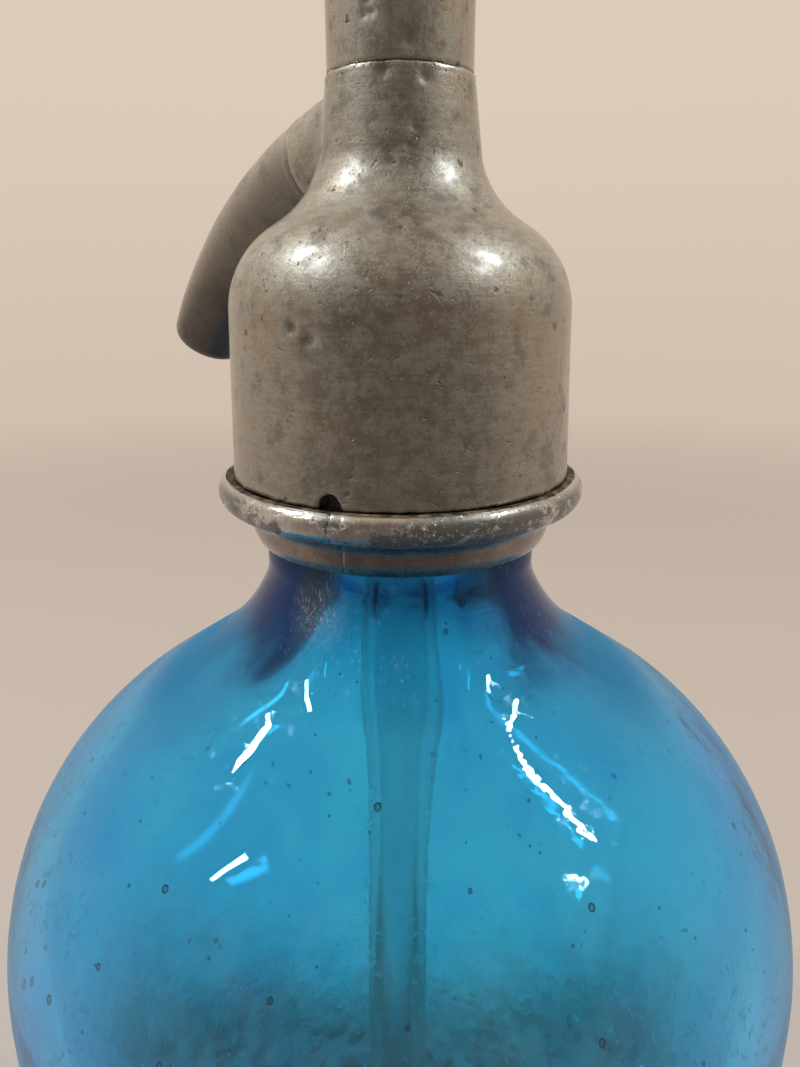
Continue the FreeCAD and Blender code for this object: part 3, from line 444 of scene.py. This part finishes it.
# The bubbles lie in the upper wall, up to the depth to each side of a shell half-way through the glass.
mid_wall = drawn(
    [(bottle_radius - glass_wall / 2, corner_level)]
    + arc(shoulder_middle, wall_top, shoulder_round - glass_wall / 2, 0, cone_tilt, 16)
    + arc(flare_middle[0] - 4.7, flare_middle[1] - 2.7, 23.6, 180 + cone_tilt, 196, 8))
round_steps = 96
shell_points, shell_faces = spun(mid_wall, round_steps)
shell_faces = [f for f in shell_faces if max(f) - min(f) < len(shell_points) - round_steps * 2]
bubble_wall = solid("bubble_wall", shell_points, shell_faces, bubble_finish)
bubble_wall.modifiers.new("scattered_bubbles", "NODES").node_group = bubble_tree
mounted(linked("glass_bubbles", settled(bubble_wall, "glass_bubbles")), "siphon", "blue_glass")

# Dip tube of clear drawn glass, which carries the water up from the floor to the valve. Its own finish
# is a little green with age, and the lip at its foot is fire-rounded.

tube_glass, paint = finish("drawn_glass")
at = paint.place((1.0, 1.0, 0.15))
streak = paint.noise(at, 0.6, 3.0, 0.5, 2.0)
tube_clear = paint.node("BsdfPrincipled", {
    "Base Color": (0.80, 0.855, 0.85, 1), "IOR": 1.5, "Transmission Weight": 1.0,
    "Roughness": 0.09 + 0.06 * streak.rise(0.5, 0.75), "Normal": paint.bump(streak, 0.03)})
film_and_edge_shade = paint.node("BsdfPrincipled", {"Base Color": (0.20, 0.22, 0.15, 1), "Roughness": 0.7})
# The dark film lies on streaks, and at the tube's edges as painted shade.
rim = paint.node("LayerWeight", {"Blend": 0.5}, "Facing").rise(0.35, 0.95)
tube_surface = paint.node("MixShader", {0: streak.rise(0.5, 0.8) * 0.08 + rim * 0.22,
                                        1: tube_clear, 2: film_and_edge_shade})
paint.shown(paint.node("MixShader", {
    0: paint.node("LightPath", output="Is Shadow Ray"), 1: tube_surface,
    2: paint.node("BsdfTransparent", {0: (0.8, 0.84, 0.78, 1)})}))
tube_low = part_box("dip_tube")[0].z / MM
tube_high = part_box("dip_tube")[1].z / MM
tube_radius, tube_bore = 4.65, 2.7
tip_round = (tube_radius - tube_bore) / 2
tube_section = drawn(arc(tube_bore + tip_round, tube_low + tip_round, tip_round, 180, 360, 12)
                     + [(tube_radius, tube_high), (tube_bore, tube_high), (tube_bore, tube_low + 2.0)])
tube_points, tube_faces = spun(tube_section, round_steps)
lean = waves(tube_points * (0, 0, 1), 120, 8) * 0.02
tube_points = tube_points * np.stack([1 + lean, 1 + lean, np.ones_like(lean)], 1)
mounted(solid("drawn_tube", tube_points, tube_faces, tube_glass), "siphon", "clear_glass", "dip_tube")

# Split neck ring of cast pewter. Its two halves close round the groove under the glass lip, and the rolled
# bead that carries the skirt is worn bright where hands reach, with dark tarnish left on its face.


def cad_points(mesh):
    """A mesh's points, in millimetres."""
    points = np.empty(len(mesh.vertices) * 3, np.float32)
    mesh.vertices.foreach_get("co", points)
    return points.reshape(-1, 3).astype(float) / MM


def around(points, pairs, neighbours):
    """The mean of each point's neighbours, from the pairs of joined points and each point's count of them."""
    total = np.empty_like(points)
    for axis in range(3):
        total[:, axis] = (np.bincount(pairs[:, 0], points[pairs[:, 1], axis], len(points))
                          + np.bincount(pairs[:, 1], points[pairs[:, 0], axis], len(points)))
    return total / neighbours[:, None]


def merged_copy(node):
    """A copy of a CAD node's mesh with its loose triangles joined."""
    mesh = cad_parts[node].data.copy()
    joined = bmesh.new()
    joined.from_mesh(mesh)
    bmesh.ops.remove_doubles(joined, verts=joined.verts, dist=1e-6)
    joined.to_mesh(mesh)
    joined.free()
    return mesh


def cast(name, node, material, voxel, rounds, seed, uneven, shapes=(), lumps=14.0):
    """A cast piece: the CAD node's form as an even skin, its edges softened, its faces a little uneven.

    The wear attribute is above 0 where an edge stands out and below 0 in a hollow, about 1 per 0.1 mm."""
    carrier = linked(name + "_blank", merged_copy(node))
    skin = carrier.modifiers.new("skin", "REMESH")
    skin.mode = "VOXEL"
    skin.voxel_size = voxel * MM
    mesh = settled(carrier, name)
    pairs = np.empty(len(mesh.edges) * 2, np.int32)
    mesh.edges.foreach_get("vertices", pairs)
    pairs = pairs.reshape(-1, 2)
    neighbours = np.maximum(np.bincount(pairs.ravel(), minlength=len(mesh.vertices)), 1).astype(float)
    points = cad_points(mesh)
    eased_in, eased_out = 0.6, 0.55       # the second undoes the shrinking that the first brings
    for _ in range(rounds):
        points += eased_in * (around(points, pairs, neighbours) - points)
        points -= eased_out * (around(points, pairs, neighbours) - points)

    def reshaped(now):
        """Move the piece's points, and give their normals."""
        mesh.vertices.foreach_set("co", (now * MM).astype(np.float32).ravel())
        mesh.update()
        facing = np.empty(len(mesh.vertices) * 3, np.float32)
        mesh.vertex_normals.foreach_get("vector", facing)
        return facing.reshape(-1, 3).astype(float)

    for shape in shapes:
        points = shape(points, reshaped(points), pairs, neighbours)
    points -= reshaped(points) * uneven * (0.5 + 0.5 * waves(points, lumps, seed))[:, None]
    even = points.copy()
    for _ in range(14):
        even += 0.5 * (around(even, pairs, neighbours) - even)
    wear = ((points - even) * reshaped(points)).sum(1) / 0.1
    mesh.attributes.new("wear", "FLOAT", "POINT").data.foreach_set("value", wear.astype(np.float32))
    low, high = (np.array(corner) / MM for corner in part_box(node))
    reshaped(np.clip(points, low, high))
    mesh.shade_smooth()
    mesh.materials.clear()
    mesh.materials.append(material)
    return linked(name, mesh)


def pewter(name, dull, warm, bright, stain, shine, stained, shift, pitted=1.0, along=(0.3, 0.3, 2.4),
           extra=None):
    """Old cast pewter: grey-brown with a warm cast, brighter where it is rubbed, dark in pits and stains.

    The rubbing runs across the stretched axes in along."""
    material, paint = finish(name)
    at = paint.place()
    wear = paint.node("Attribute", output="Fac", attribute_name="wear")
    cloud = paint.noise(at, 0.11, 4.0, 0.6, shift)
    mottle = paint.noise(at, 0.5, 8.0, 0.72, shift + 2)
    grain = paint.noise(at, 3.2, 4.0, 0.65, shift + 4)
    rubbed = paint.noise(paint.place(along), 1.0, 6.0, 0.68, shift + 6)
    tilted = paint.node("VectorRotate", {"Vector": at, "Rotation": (0.5, 0.7, 0.9)},
                        rotation_type="EULER_XYZ")
    lines = paint.node("VectorMath", {0: tilted, 1: (0.35, 6.0, 6.0)}, operation="MULTIPLY")
    scratch = paint.noise(lines, 0.8, 2.0, 0.5, shift + 7).rise(0.60, 0.70)
    drift = paint.node("TexNoise", {"Vector": at, "Scale": 1.1, "Detail": 3.0}, "Color")
    ragged = paint.node("VectorMath", {0: drift, 1: (1.5, 1.5, 1.5)}, operation="MULTIPLY")
    warped = paint.node("VectorMath", {0: at, 1: ragged}, operation="ADD")
    sparse = paint.noise(at, 0.2, 2.0, 0.5, shift + 8).rise(0.50, 0.62)
    pits = paint.cells(warped, 0.36).rise(0.19, 0.09) * sparse
    specks = paint.cells(warped, 1.1).rise(0.26, 0.1)
    specks = specks * paint.noise(at, 0.3, 3.0, 0.6, shift + 9).rise(0.43, 0.58)
    rust = paint.noise(at, 1.5, 6.0, 0.72, shift + 13).rise(0.56, 0.66)
    rust = rust * paint.noise(at, 0.16, 3.0, 0.55, shift + 14).rise(0.44, 0.6)
    pit = (pits * 0.7 + specks * 0.55) * pitted
    patch = paint.noise(at, 0.3, 7.0, 0.66, shift + 11).rise(0.52, 0.64) * stained
    hollow = (-wear).rise(0.12, 0.9)
    edge = wear.rise(0.15, 1.1)
    colour = paint.mixed(cloud.rise(0.42, 0.6), dull, warm)
    colour = paint.mixed((mottle * 0.5 + rubbed * 0.25 + grain * 0.25).rise(0.43, 0.58) * 0.8, colour, bright)
    colour = paint.mixed(rust * 0.5, colour, (0.35, 0.225, 0.125))
    colour = paint.mixed(patch * 0.6, colour, stain)
    colour = paint.mixed(edge * 0.6, colour, bright)
    dark = paint.math("MINIMUM", pit + hollow * 0.45, 1.0)
    colour = paint.mixed(dark, colour, stain)
    rough = shine + 0.26 * mottle.rise(0.42, 0.62) + 0.1 * rubbed + 0.15 * patch + 0.2 * dark - 0.08 * edge
    relief = mottle * 0.36 + grain * 0.11 + rubbed * 0.1 - scratch * 0.04 - pit * 0.4
    metal = 1.0 - 0.4 * dark - 0.2 * patch
    if extra:
        colour, rough, metal, relief = extra(paint, at, wear, colour, rough, metal, relief)
    paint.shown(paint.node("BsdfPrincipled", {
        "Base Color": colour, "Roughness": rough, "Metallic": metal, "Normal": paint.bump(relief, 0.2),
        "Coat Weight": 0.8 - 0.6 * dark - 0.5 * patch, "Coat Roughness": 0.2}))
    return material


def ring_tarnish(paint, at, wear, colour, rough, metal, relief):
    """Dark tarnish on the outer face of the bead, painted shade with dark pits on the slope inside it,
    painted shade on the band below the bead, and worn spots on the band.
    """
    level = paint.node("SeparateXYZ", {0: at}, 2)
    flat = paint.node("VectorMath", {0: at, 1: (1, 1, 0)}, operation="MULTIPLY")
    radius = paint.node("VectorMath", {0: flat}, "Value", operation="LENGTH")
    face = radius.rise(21.9, 22.6) * level.rise(183.4, 184.6) * level.rise(188.0, 186.9)
    # Painted shade in the slope between the bead's crest and the skirt, broken up by noise.
    slope = radius.rise(22.0, 21.5) * level.rise(186.4, 186.9)
    handled = paint.node("VectorMath", {0: flat, 1: (-0.0194, 0.0405, 0.0)}, "Value", operation="DOT_PRODUCT")
    blotch = paint.noise(paint.place((1, 1, 1.5)), 0.2, 8.0, 0.68, 21.0) - handled.rise(0.78, 0.98) * 0.09
    tarnish_and_shade = paint.math("MINIMUM", face * blotch.rise(0.40, 0.475)
                       + slope * paint.noise(at, 0.7, 6.0, 0.7, 23.0).rise(0.36, 0.5), 1.0)
    tarnish_and_shade = tarnish_and_shade * paint.noise(at, 1.6, 5.0, 0.7, 25.0).rise(0.34, 0.46)
    copper = level.rise(184.2, 183.4) * paint.noise(at, 0.4, 6.0, 0.6, 27.0).rise(0.52, 0.6)
    # Painted shade: the band below the bead is darkened, and made a little rougher.
    colour = paint.mixed(level.rise(184.4, 183.2) * 0.75, colour, (0.12, 0.09, 0.075))
    colour = paint.mixed(copper * 0.4, colour, (0.36, 0.27, 0.20))
    colour = paint.mixed(tarnish_and_shade * 0.92, colour, (0.075, 0.072, 0.062))
    return (colour, rough * 0.75 + 0.3 * tarnish_and_shade + level.rise(184.4, 183.2) * 0.1, metal - 0.45 * tarnish_and_shade,
            relief * 0.6 - 0.3 * tarnish_and_shade)


def closed(split_angle, half_gap):
    """Bring the two ends of each half close together, as the screws under the skirt do."""
    a = math.radians(split_angle)
    across = np.array((-math.sin(a), math.cos(a), 0.0))

    def pull(points, facing, pairs, neighbours):
        off = points @ across
        moved = np.sign(off) * half_gap * step(-np.abs(off), -3.0, -0.6)
        return points - moved[:, None] * across
    return pull


ring_finish = pewter("ring_pewter", (0.36, 0.345, 0.32), (0.38, 0.33, 0.29), (0.62, 0.605, 0.575),
                     (0.10, 0.09, 0.075), shine=0.13, stained=0.3, pitted=0.5, shift=30, extra=ring_tarnish)
split_angle, split_gap = 121.0, 0.64
for half in ("neck_ring_left", "neck_ring_right"):
    ring_half = cast(half.replace("ring", "collar"), half, ring_finish, voxel=0.3, rounds=3,
                     shapes=(closed(split_angle, split_gap / 2),), seed=21, uneven=0.05)
    mounted(ring_half, "siphon", "ring_pewter", half)

# Grime and verdigris packed into the crevice between the neck ring's bead and the skirt. It is a thin ring
# of dried dirt that clings to both, deeper on some sides.

grime_in, grime_out, crevice_floor = 21.2, 22.3, 187.35
grime_section = drawn([(grime_in, crevice_floor), (grime_out, crevice_floor), (grime_out, 187.7),
                       (21.75, 187.8), (grime_in, 187.75)], 0.3)
grime_points, grime_faces = spun(grime_section, 360)
around_neck = np.degrees(np.arctan2(grime_points[:, 1], grime_points[:, 0]))
fill = (0.5 + 0.5 * waves(grime_points, 15, 41)) * step(np.abs((around_neck - 128 + 180) % 360 - 180), 8, 34)
grime_points[:, 2] += (0.10 * fill + 0.03 * waves(grime_points, 5, 42)) * (grime_points[:, 2] > 187.5)
grime_finish, paint = finish("packed_grime")
at = paint.place()
crust = paint.noise(at, 0.7, 7.0, 0.7, 43.0)
paint.shown(paint.node("BsdfPrincipled", {
    "Base Color": paint.mixed(crust.rise(0.42, 0.62), (0.025, 0.02, 0.014), (0.26, 0.18, 0.095)),
    "Roughness": 0.85, "Normal": paint.bump(crust, 0.2)}))
mounted(solid("crevice_grime", grime_points, grime_faces, grime_finish), "siphon", "ring_pewter")

# Head casting. The skirt screws down over the neck ring and its rounded shoulder flares up into the column.
# It is cast pewter turned on a lathe, dinged and pitted, with a boss that the spout is soldered into.


def profile(z):
    """The radius of the head's turned outside at a height."""
    heights = [187.8, 207.4, 211, 214.5, 217.2, 219.5, 222, 224.2, 232.9]
    radii = [21.35, 20.7, 19.9, 17.9, 15.2, 12.4, 10.4, 9.55, 8.55]
    return np.interp(z, heights, radii)


spout_tilt = math.radians(15.2)
spout_level = 229.3
boss_radius, boss_end = 6.3, 12.6


def from_spout_axis(points):
    """How far each point is from the line that the spout leaves the column on, and how far along it."""
    way = np.array([math.cos(spout_tilt), 0, -math.sin(spout_tilt)])
    start = np.array([0, 0, spout_level])
    along = (points - start) @ way
    return np.linalg.norm(points - start - along[:, None] * way, axis=1), along


def solder_fillet(points, facing, pairs, neighbours):
    """The solder that rounds the corner between the column and the boss."""
    reach = np.hypot(points[:, 0], points[:, 1])
    off, along = from_spout_axis(points)
    outer = reach > 8.2
    from_side = np.abs(reach - profile(points[:, 2]))
    corner = (step(-np.abs(off - boss_radius), -3.4, -0.6) * step(-from_side, -4.2, -1.4)
              * step(-along, -boss_end - 2.2, -boss_end) * outer * (points[:, 0] > 3))[:, None]
    for _ in range(70):
        points = points + corner * 0.5 * (around(points, pairs, neighbours) - points)
    return points


def squared(level, radius):
    """Bring an edge that the casting rounded off back to a crisp corner, at a height and a radius."""
    def press(points, facing, pairs, neighbours):
        reach = np.hypot(points[:, 0], points[:, 1])
        off_level, off_side = np.abs(points[:, 2] - level), np.abs(reach - radius)
        near = (off_level < 0.8) & (off_side < 0.8)
        side = near & (off_side < off_level)
        points[side, :2] *= (radius / reach[side])[:, None]
        points[near & ~side, 2] = level
        return points
    return press


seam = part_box("upper_column")[0].z / MM


def dinged(marks):
    """Small dents from use, each with its angle, height, radius and depth."""
    def press(points, facing, pairs, neighbours):
        for angle, level, radius, deep in marks:
            a = math.radians(angle)
            spot = np.array([math.cos(a), math.sin(a), 0]) * profile(level) + (0, 0, level)
            gone = np.linalg.norm(points - spot, axis=1) / radius
            points = points - facing * (deep * np.exp(-gone ** 2 * 1.4))[:, None]
        return points
    return press


dull_grey, warm_grey, bright_grey = (0.272, 0.254, 0.212), (0.31, 0.262, 0.20), (0.44, 0.415, 0.36)
head_finish = pewter("head_pewter", dull_grey, warm_grey, bright_grey, (0.07, 0.058, 0.042),
                     shine=0.34, stained=0.6, shift=2)
head_dings = [
    (113, 205.5, 1.0, 0.30), (128, 232.0, 1.0, 0.28), (141, 229.3, 0.8, 0.25), (158, 231.5, 0.9, 0.3),
    (150, 226.5, 0.6, 0.2), (134, 223.2, 0.7, 0.22), (146, 224.8, 0.6, 0.2), (107, 206.6, 0.75, 0.42),
    (172, 200.6, 0.9, 0.12), (106, 197, 1.8, 0.08), (180, 193, 1.6, 0.08), (140, 216.5, 1.5, 0.08),
    (84, 208, 1.2, 0.15), (30, 196, 2.2, 0.12), (-40, 204, 1.4, 0.2), (-95, 192, 1.0, 0.2),
    (-150, 200, 2.0, 0.1), (-120, 214, 1.2, 0.16), (60, 190.6, 1.1, 0.18), (215, 190.2, 1.2, 0.2)]
seam_head_radius, seam_column_radius = 8.58, 8.35
head = cast("head_casting", "head_body", head_finish, voxel=0.375, rounds=3,
            shapes=(solder_fillet, squared(seam, seam_head_radius), dinged(head_dings)),
            seed=3, uneven=0.07, lumps=16.0)
mounted(head, "siphon", "pewter", "head_body")

# Spout. A thick cast pewter tube, bent down at the end and soldered into the boss. Its underside carries
# painted shade, a dark brown, and is rougher.


def shaded_side(paint, at, wear, colour, rough, metal, relief):
    """Painted shade, a dark brown, on the faces turned down and away, and brown dried drips towards the open
    end.
    """
    facing = paint.node("VectorMath", {0: paint.node("TexCoord", output="Normal"), 1: (-0.7, 0.0, -0.7)},
                        "Value", operation="DOT_PRODUCT")
    low = paint.node("SeparateXYZ", {0: at}, 2).rise(216.0, 202.0)
    shade_and_drips = paint.math("MINIMUM", facing.rise(-0.55, 0.5) * 0.62 + low * 0.6, 0.92)
    shade_and_drips = shade_and_drips * (0.75 + 0.3 * paint.noise(at, 0.6, 6.0, 0.65, 57.0))
    colour = paint.mixed(shade_and_drips, colour, (0.055, 0.038, 0.024))
    return colour, rough + 0.12 * shade_and_drips, metal - 0.3 * shade_and_drips, relief


spout_finish = pewter("spout_pewter", (0.255, 0.24, 0.205), (0.29, 0.24, 0.19), (0.40, 0.37, 0.32),
                      (0.075, 0.058, 0.04), shine=0.36, stained=0.5, pitted=0.5, shift=50, extra=shaded_side)
spout = cast("spout_casting", "spout", spout_finish, voxel=0.33, rounds=3, seed=5, uneven=0.08, lumps=12.0)
mounted(spout, "siphon", "pewter", "spout")

# Solder run round the joint between the boss and the spout. It is soft solder, wiped smooth while it was
# hot, and holds the spout in the head.

joint_at = 15.4                   # how far out along the spout's axis the joint is
bead_middle, bead_round = 3.5, 2.8
bead_section = drawn(arc(bead_middle, joint_at, bead_round, -56, 56, 24), 0.6)
solder_points, solder_faces = spun(bead_section, round_steps)
along, lift = solder_points[:, 2].copy(), solder_points[:, 0].copy()
lean = math.pi / 2 + spout_tilt
solder_points = np.stack([
    along * math.sin(lean) + lift * math.cos(lean),
    solder_points[:, 1],
    along * math.cos(lean) - lift * math.sin(lean) + spout_level], 1)
mounted(solid("solder_run", solder_points, solder_faces, spout_finish), "siphon", "pewter")

# Upper column of cast pewter, screwed into the head casting at the seam. It holds the stem's packing and
# carries the two ears of the lever.

column_finish = pewter("column_pewter", dull_grey, warm_grey, bright_grey, (0.07, 0.06, 0.045),
                       shine=0.34, stained=0.7, shift=70, along=(2.0, 2.0, 0.3))
column_dings = [
    (116, 238.6, 0.8, 0.3), (119, 237.4, 0.6, 0.25), (113, 237.2, 0.6, 0.2), (146, 234.6, 0.8, 0.2)]
column = cast("column_casting", "upper_column", column_finish, voxel=0.3, rounds=4,
              shapes=(squared(seam, seam_column_radius), dinged(column_dings)),
              seed=7, uneven=0.05, lumps=10.0)
mounted(column, "siphon", "pewter", "upper_column")

# Thumb lever of cast pewter, pinned between the column's ears by its screw. Its wide end is dished by the
# thumb and rubbed bright.


def dished(points, facing, pairs, neighbours):
    """A shallow hollow worn in the top of the thumb end."""
    end = step(-points[:, 0], 30, 43) * step(facing[:, 2], 0.3, 0.8) * step(-np.abs(points[:, 1]), -7.5, -3.0)
    return points - np.stack([0 * end, 0 * end, 0.7 * end], 1)


lever_finish = pewter("lever_pewter", (0.28, 0.27, 0.23), (0.32, 0.27, 0.22), (0.50, 0.47, 0.415),
                      (0.075, 0.062, 0.045), shine=0.28, stained=0.45, shift=90, along=(0.3, 2.2, 2.2))
lever = cast("thumb_lever", "lever", lever_finish, voxel=0.34, rounds=8, shapes=(dished,),
             seed=9, uneven=0.06, lumps=13.0)
mounted(lever, "lever_arm", "pewter", "lever")

# Turned brass and steel fittings: the cap that guides the stem, the stem and its button, the lever's screw
# and nut. They are machined, so their edges are crisp and their faces carry fine turning marks.


def machined(name, node, material, edge):
    """A turned or milled piece: the CAD node's form with its edges broken."""
    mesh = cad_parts[node].data.copy()
    mesh.name = name
    block = bmesh.new()
    block.from_mesh(mesh)
    bmesh.ops.remove_doubles(block, verts=block.verts, dist=1e-6)
    bmesh.ops.dissolve_limit(block, angle_limit=math.radians(1.0), verts=block.verts, edges=block.edges)
    sharp = [e for e in block.edges if len(e.link_faces) == 2 and e.calc_face_angle(0) > math.radians(35)]
    bmesh.ops.bevel(block, geom=sharp, offset=edge * MM, segments=2, profile=0.5, affect="EDGES",
                    clamp_overlap=True)
    block.to_mesh(mesh)
    block.free()
    mesh.shade_smooth()
    mesh.set_sharp_from_angle(angle=math.radians(40))
    mesh.materials.clear()
    mesh.materials.append(material)
    return linked(name, mesh)


def turned_metal(name, colour, tarnish, shine, amount, shift):
    """Machined metal with fine turning marks and uneven tarnish."""
    material, paint = finish(name)
    at = paint.place()
    marks = paint.noise(paint.place((0.2, 0.2, 9.0)), 1.0, 3.0, 0.6, shift)
    cloud = paint.noise(at, 0.35, 6.0, 0.6, shift + 3).rise(0.45, 0.68) * amount
    spots = paint.cells(at, 1.1).rise(0.25, 0.1) * paint.noise(at, 0.4, 2.0, 0.5, shift + 5).rise(0.5, 0.62)
    dulled = paint.math("MINIMUM", cloud + spots * 0.7, 1.0)
    paint.shown(paint.node("BsdfPrincipled", {
        "Base Color": paint.mixed(dulled, colour, tarnish),
        "Roughness": shine + 0.12 * marks + 0.25 * dulled,
        "Metallic": 1.0 - 0.35 * dulled,
        "Normal": paint.bump(marks * 0.4 - spots * 0.5, 0.05)}))
    return material


brass = turned_metal("old_brass", (0.60, 0.44, 0.19), (0.17, 0.115, 0.05), 0.24, 0.8, 100)
steel = turned_metal("dark_steel", (0.42, 0.40, 0.38), (0.11, 0.08, 0.06), 0.3, 0.75, 110)
tin = turned_metal("turned_tin", (0.58, 0.57, 0.53), (0.24, 0.22, 0.19), 0.28, 0.6, 120)
spring_wire = turned_metal("spring_wire", (0.46, 0.45, 0.44), (0.14, 0.10, 0.07), 0.26, 0.5, 130)
for name, node, body, slot, material, edge in (
        ("column_cap", "top_cap", "siphon", "brass", brass, 0.15),
        ("valve_rod_stem", "valve_stem", "valve_rod", "brass", brass, 0.08),
        ("rod_button", "stem_button", "valve_rod", "brass", brass, 0.08),
        ("pivot_screw", "lever_pin", "siphon", "pin_steel", steel, 0.14),
        ("pivot_nut", "pin_nut", "siphon", "pin_steel", steel, 0.12)):
    mounted(machined(name, node, material, edge), body, slot, node)

# Pieces sealed inside the head: the tube's holder, the valve and its seat, the gaskets, the packing and the
# spring's collar. They keep the frame's own form, and each gets the finish of what it is made of.


def dressed(material, *nodes):
    """Give pieces of the frame their finish."""
    for node in nodes:
        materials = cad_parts[node].data.materials
        materials.clear()
        materials.append(material)


def soft_washer(name, colour, faded, grain, rough, shift):
    """Rubber or leather, faded and cracked with age."""
    material, paint = finish(name)
    at = paint.place()
    skin = paint.noise(at, grain, 6.0, 0.65, shift)
    cracks = paint.cells(at, grain * 1.4).rise(0.5, 0.2)
    paint.shown(paint.node("BsdfPrincipled", {
        "Base Color": paint.mixed(skin.rise(0.4, 0.7), colour, faded),
        "Roughness": rough + 0.15 * skin,
        "Normal": paint.bump(skin * 0.5 + cracks * 0.3, 0.08)}))
    return material


rubber = soft_washer("old_rubber", (0.035, 0.032, 0.03), (0.10, 0.092, 0.085), 1.6, 0.6, 140)
leather = soft_washer("greased_leather", (0.20, 0.12, 0.06), (0.36, 0.24, 0.13), 2.2, 0.55, 150)
dressed(tin, "tube_holder")
dressed(brass, "valve_seat", "valve_cup", "valve_nut", "packing_washer", "spring_collar")
dressed(rubber, "neck_gasket", "tube_grommet", "head_gasket", "valve_disc", "stem_packing_lower")
dressed(leather, "column_gasket", "stem_packing_upper")

# Return spring: a coil of drawn wire round the stem. It stands on the packing washer, under the rod's collar.

coil_mesh = merged_copy("return_spring")
coil_mesh.shade_smooth()
coil_mesh.materials.clear()
coil_mesh.materials.append(spring_wire)
coil = mounted(linked("coil_spring", coil_mesh), "siphon", "spring_steel", "return_spring")
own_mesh(coil)

# Studio: a pale floor that fades into a pale surround, two soft strip lamps above each side, and the
# camera itself, close in front and a little above the shoulder of the bottle.

wall_low, wall_high = (0.64, 0.525, 0.43), (0.72, 0.60, 0.48)
floor_colour = (0.59, 0.49, 0.418)
through_glass = (0.64, 0.66, 0.64)
dark_side, dark_share = (0.10, 0.08, 0.07), 0.82
camera_place = (-0.0781, 0.0656, 0.212)
forward = np.array((0.766, -0.643, 0.0))
rightward = np.array(side_way)
upward = np.array((0.0, 0.0, 1.0))


def unlit(paint, direction):
    """1 towards the camera's side of the studio, where no light falls, and 0 round the rest."""
    return paint.node("VectorMath", {0: direction, 1: tuple(-forward)}, "Value",
                      operation="DOT_PRODUCT").rise(0.05, 0.78)


floor_finish, paint = finish("pale_floor")
here = paint.node("TexCoord", output="Object")
from_middle = paint.node("VectorMath", {0: here}, "Value", operation="LENGTH")
mirrored = paint.node("LightPath", output="Is Glossy Ray")
refracted = paint.node("LightPath", output="Is Transmission Ray")
bearing = paint.node("VectorMath", {0: here}, operation="NORMALIZE")
shaded = unlit(paint, bearing) * from_middle.rise(0.05, 0.12)
shade = paint.mixed(mirrored * shaded * dark_share, floor_colour, dark_side)
board = paint.node("BsdfPrincipled", {"Base Color": paint.mixed(refracted, shade, through_glass),
                                      "Roughness": 0.9})
nothing = paint.node("BsdfTransparent", {0: (1, 1, 1, 1)})
paint.shown(paint.node("MixShader", {0: from_middle.rise(0.5, 1.3), 1: board, 2: nothing}))
floor_radius, floor_sides = 1500.0, 64
rim_angles = np.linspace(0, 2 * math.pi, floor_sides, endpoint=False)
floor_rim = [(floor_radius * math.cos(a), floor_radius * math.sin(a), 0) for a in rim_angles]
solid("floor", floor_rim, [tuple(range(floor_sides))], floor_finish)

world = bpy.data.worlds.new("pale_surround")
bpy.context.scene.world = world
world.use_nodes = True
world.node_tree.nodes.clear()
paint = Paint(world.node_tree)
sky = paint.node("TexCoord", output="Generated")
camera_ray, mirrored, refracted = (paint.node("LightPath", output="Is " + kind + " Ray")
                                   for kind in ("Camera", "Glossy", "Transmission"))
level = paint.node("SeparateXYZ", {0: sky}, 2)
colour = paint.mixed(refracted, paint.mixed(level.rise(-0.2, 0.25), wall_low, wall_high), through_glass)
colour = paint.mixed(mirrored * unlit(paint, sky) * dark_share, colour, dark_side)
lit = paint.node("Background", {"Color": (1.0, 0.95, 0.88, 1), "Strength": 0.62})
wall = paint.node("Background", {"Color": colour, "Strength": 1.0})
seen = paint.math("MINIMUM", camera_ray + mirrored + refracted, 1.0)
paint.node("OutputWorld", {"Surface": paint.node("MixShader", {0: seen, 1: lit, 2: wall})})


lamp_from, lamp_reach, lamp_aim = (0.0, 0.0, 0.17), 0.9, (0, 0, 0.19)
lamp_colour = (0.86, 0.94, 1.0)
for name, across, ahead, width, length, power in (
        ("lamp_left", -0.88, 0.12, 0.032, 0.17, 3.6),
        ("lamp_left_near", -0.92, -0.30, 0.035, 0.26, 2.4),
        ("lamp_right", 0.86, -0.045, 0.03, 0.26, 3.2),
        ("lamp_right_near", 1.0, -0.41, 0.04, 0.15, 1.4)):
    light = bpy.data.lights.new(name, "AREA")
    light.shape = "RECTANGLE"
    light.size = width
    light.size_y = length
    light.energy = power
    light.color = lamp_colour
    place = np.array(lamp_from) + lamp_reach * (rightward * across + forward * ahead + upward)
    aim = np.array(lamp_aim) - place
    lamp = linked(name, light)
    lamp.location = place
    lamp.rotation_euler = (math.acos(-aim[2] / np.linalg.norm(aim)), 0, math.atan2(-aim[0], aim[1]))

camera_data = bpy.data.cameras.new("camera")
camera_data.lens = 27.03
camera_data.sensor_width = 36.0
camera_data.clip_start = 0.005
camera_data.clip_end = 20.0
camera = linked("camera", camera_data)
camera.location = camera_place
look_down = 18.04
camera.rotation_euler = (math.radians(90 - look_down), 0, math.atan2(-forward[0], forward[1]))
bpy.context.scene.camera = camera
bpy.context.scene.view_settings.view_transform = "Standard"
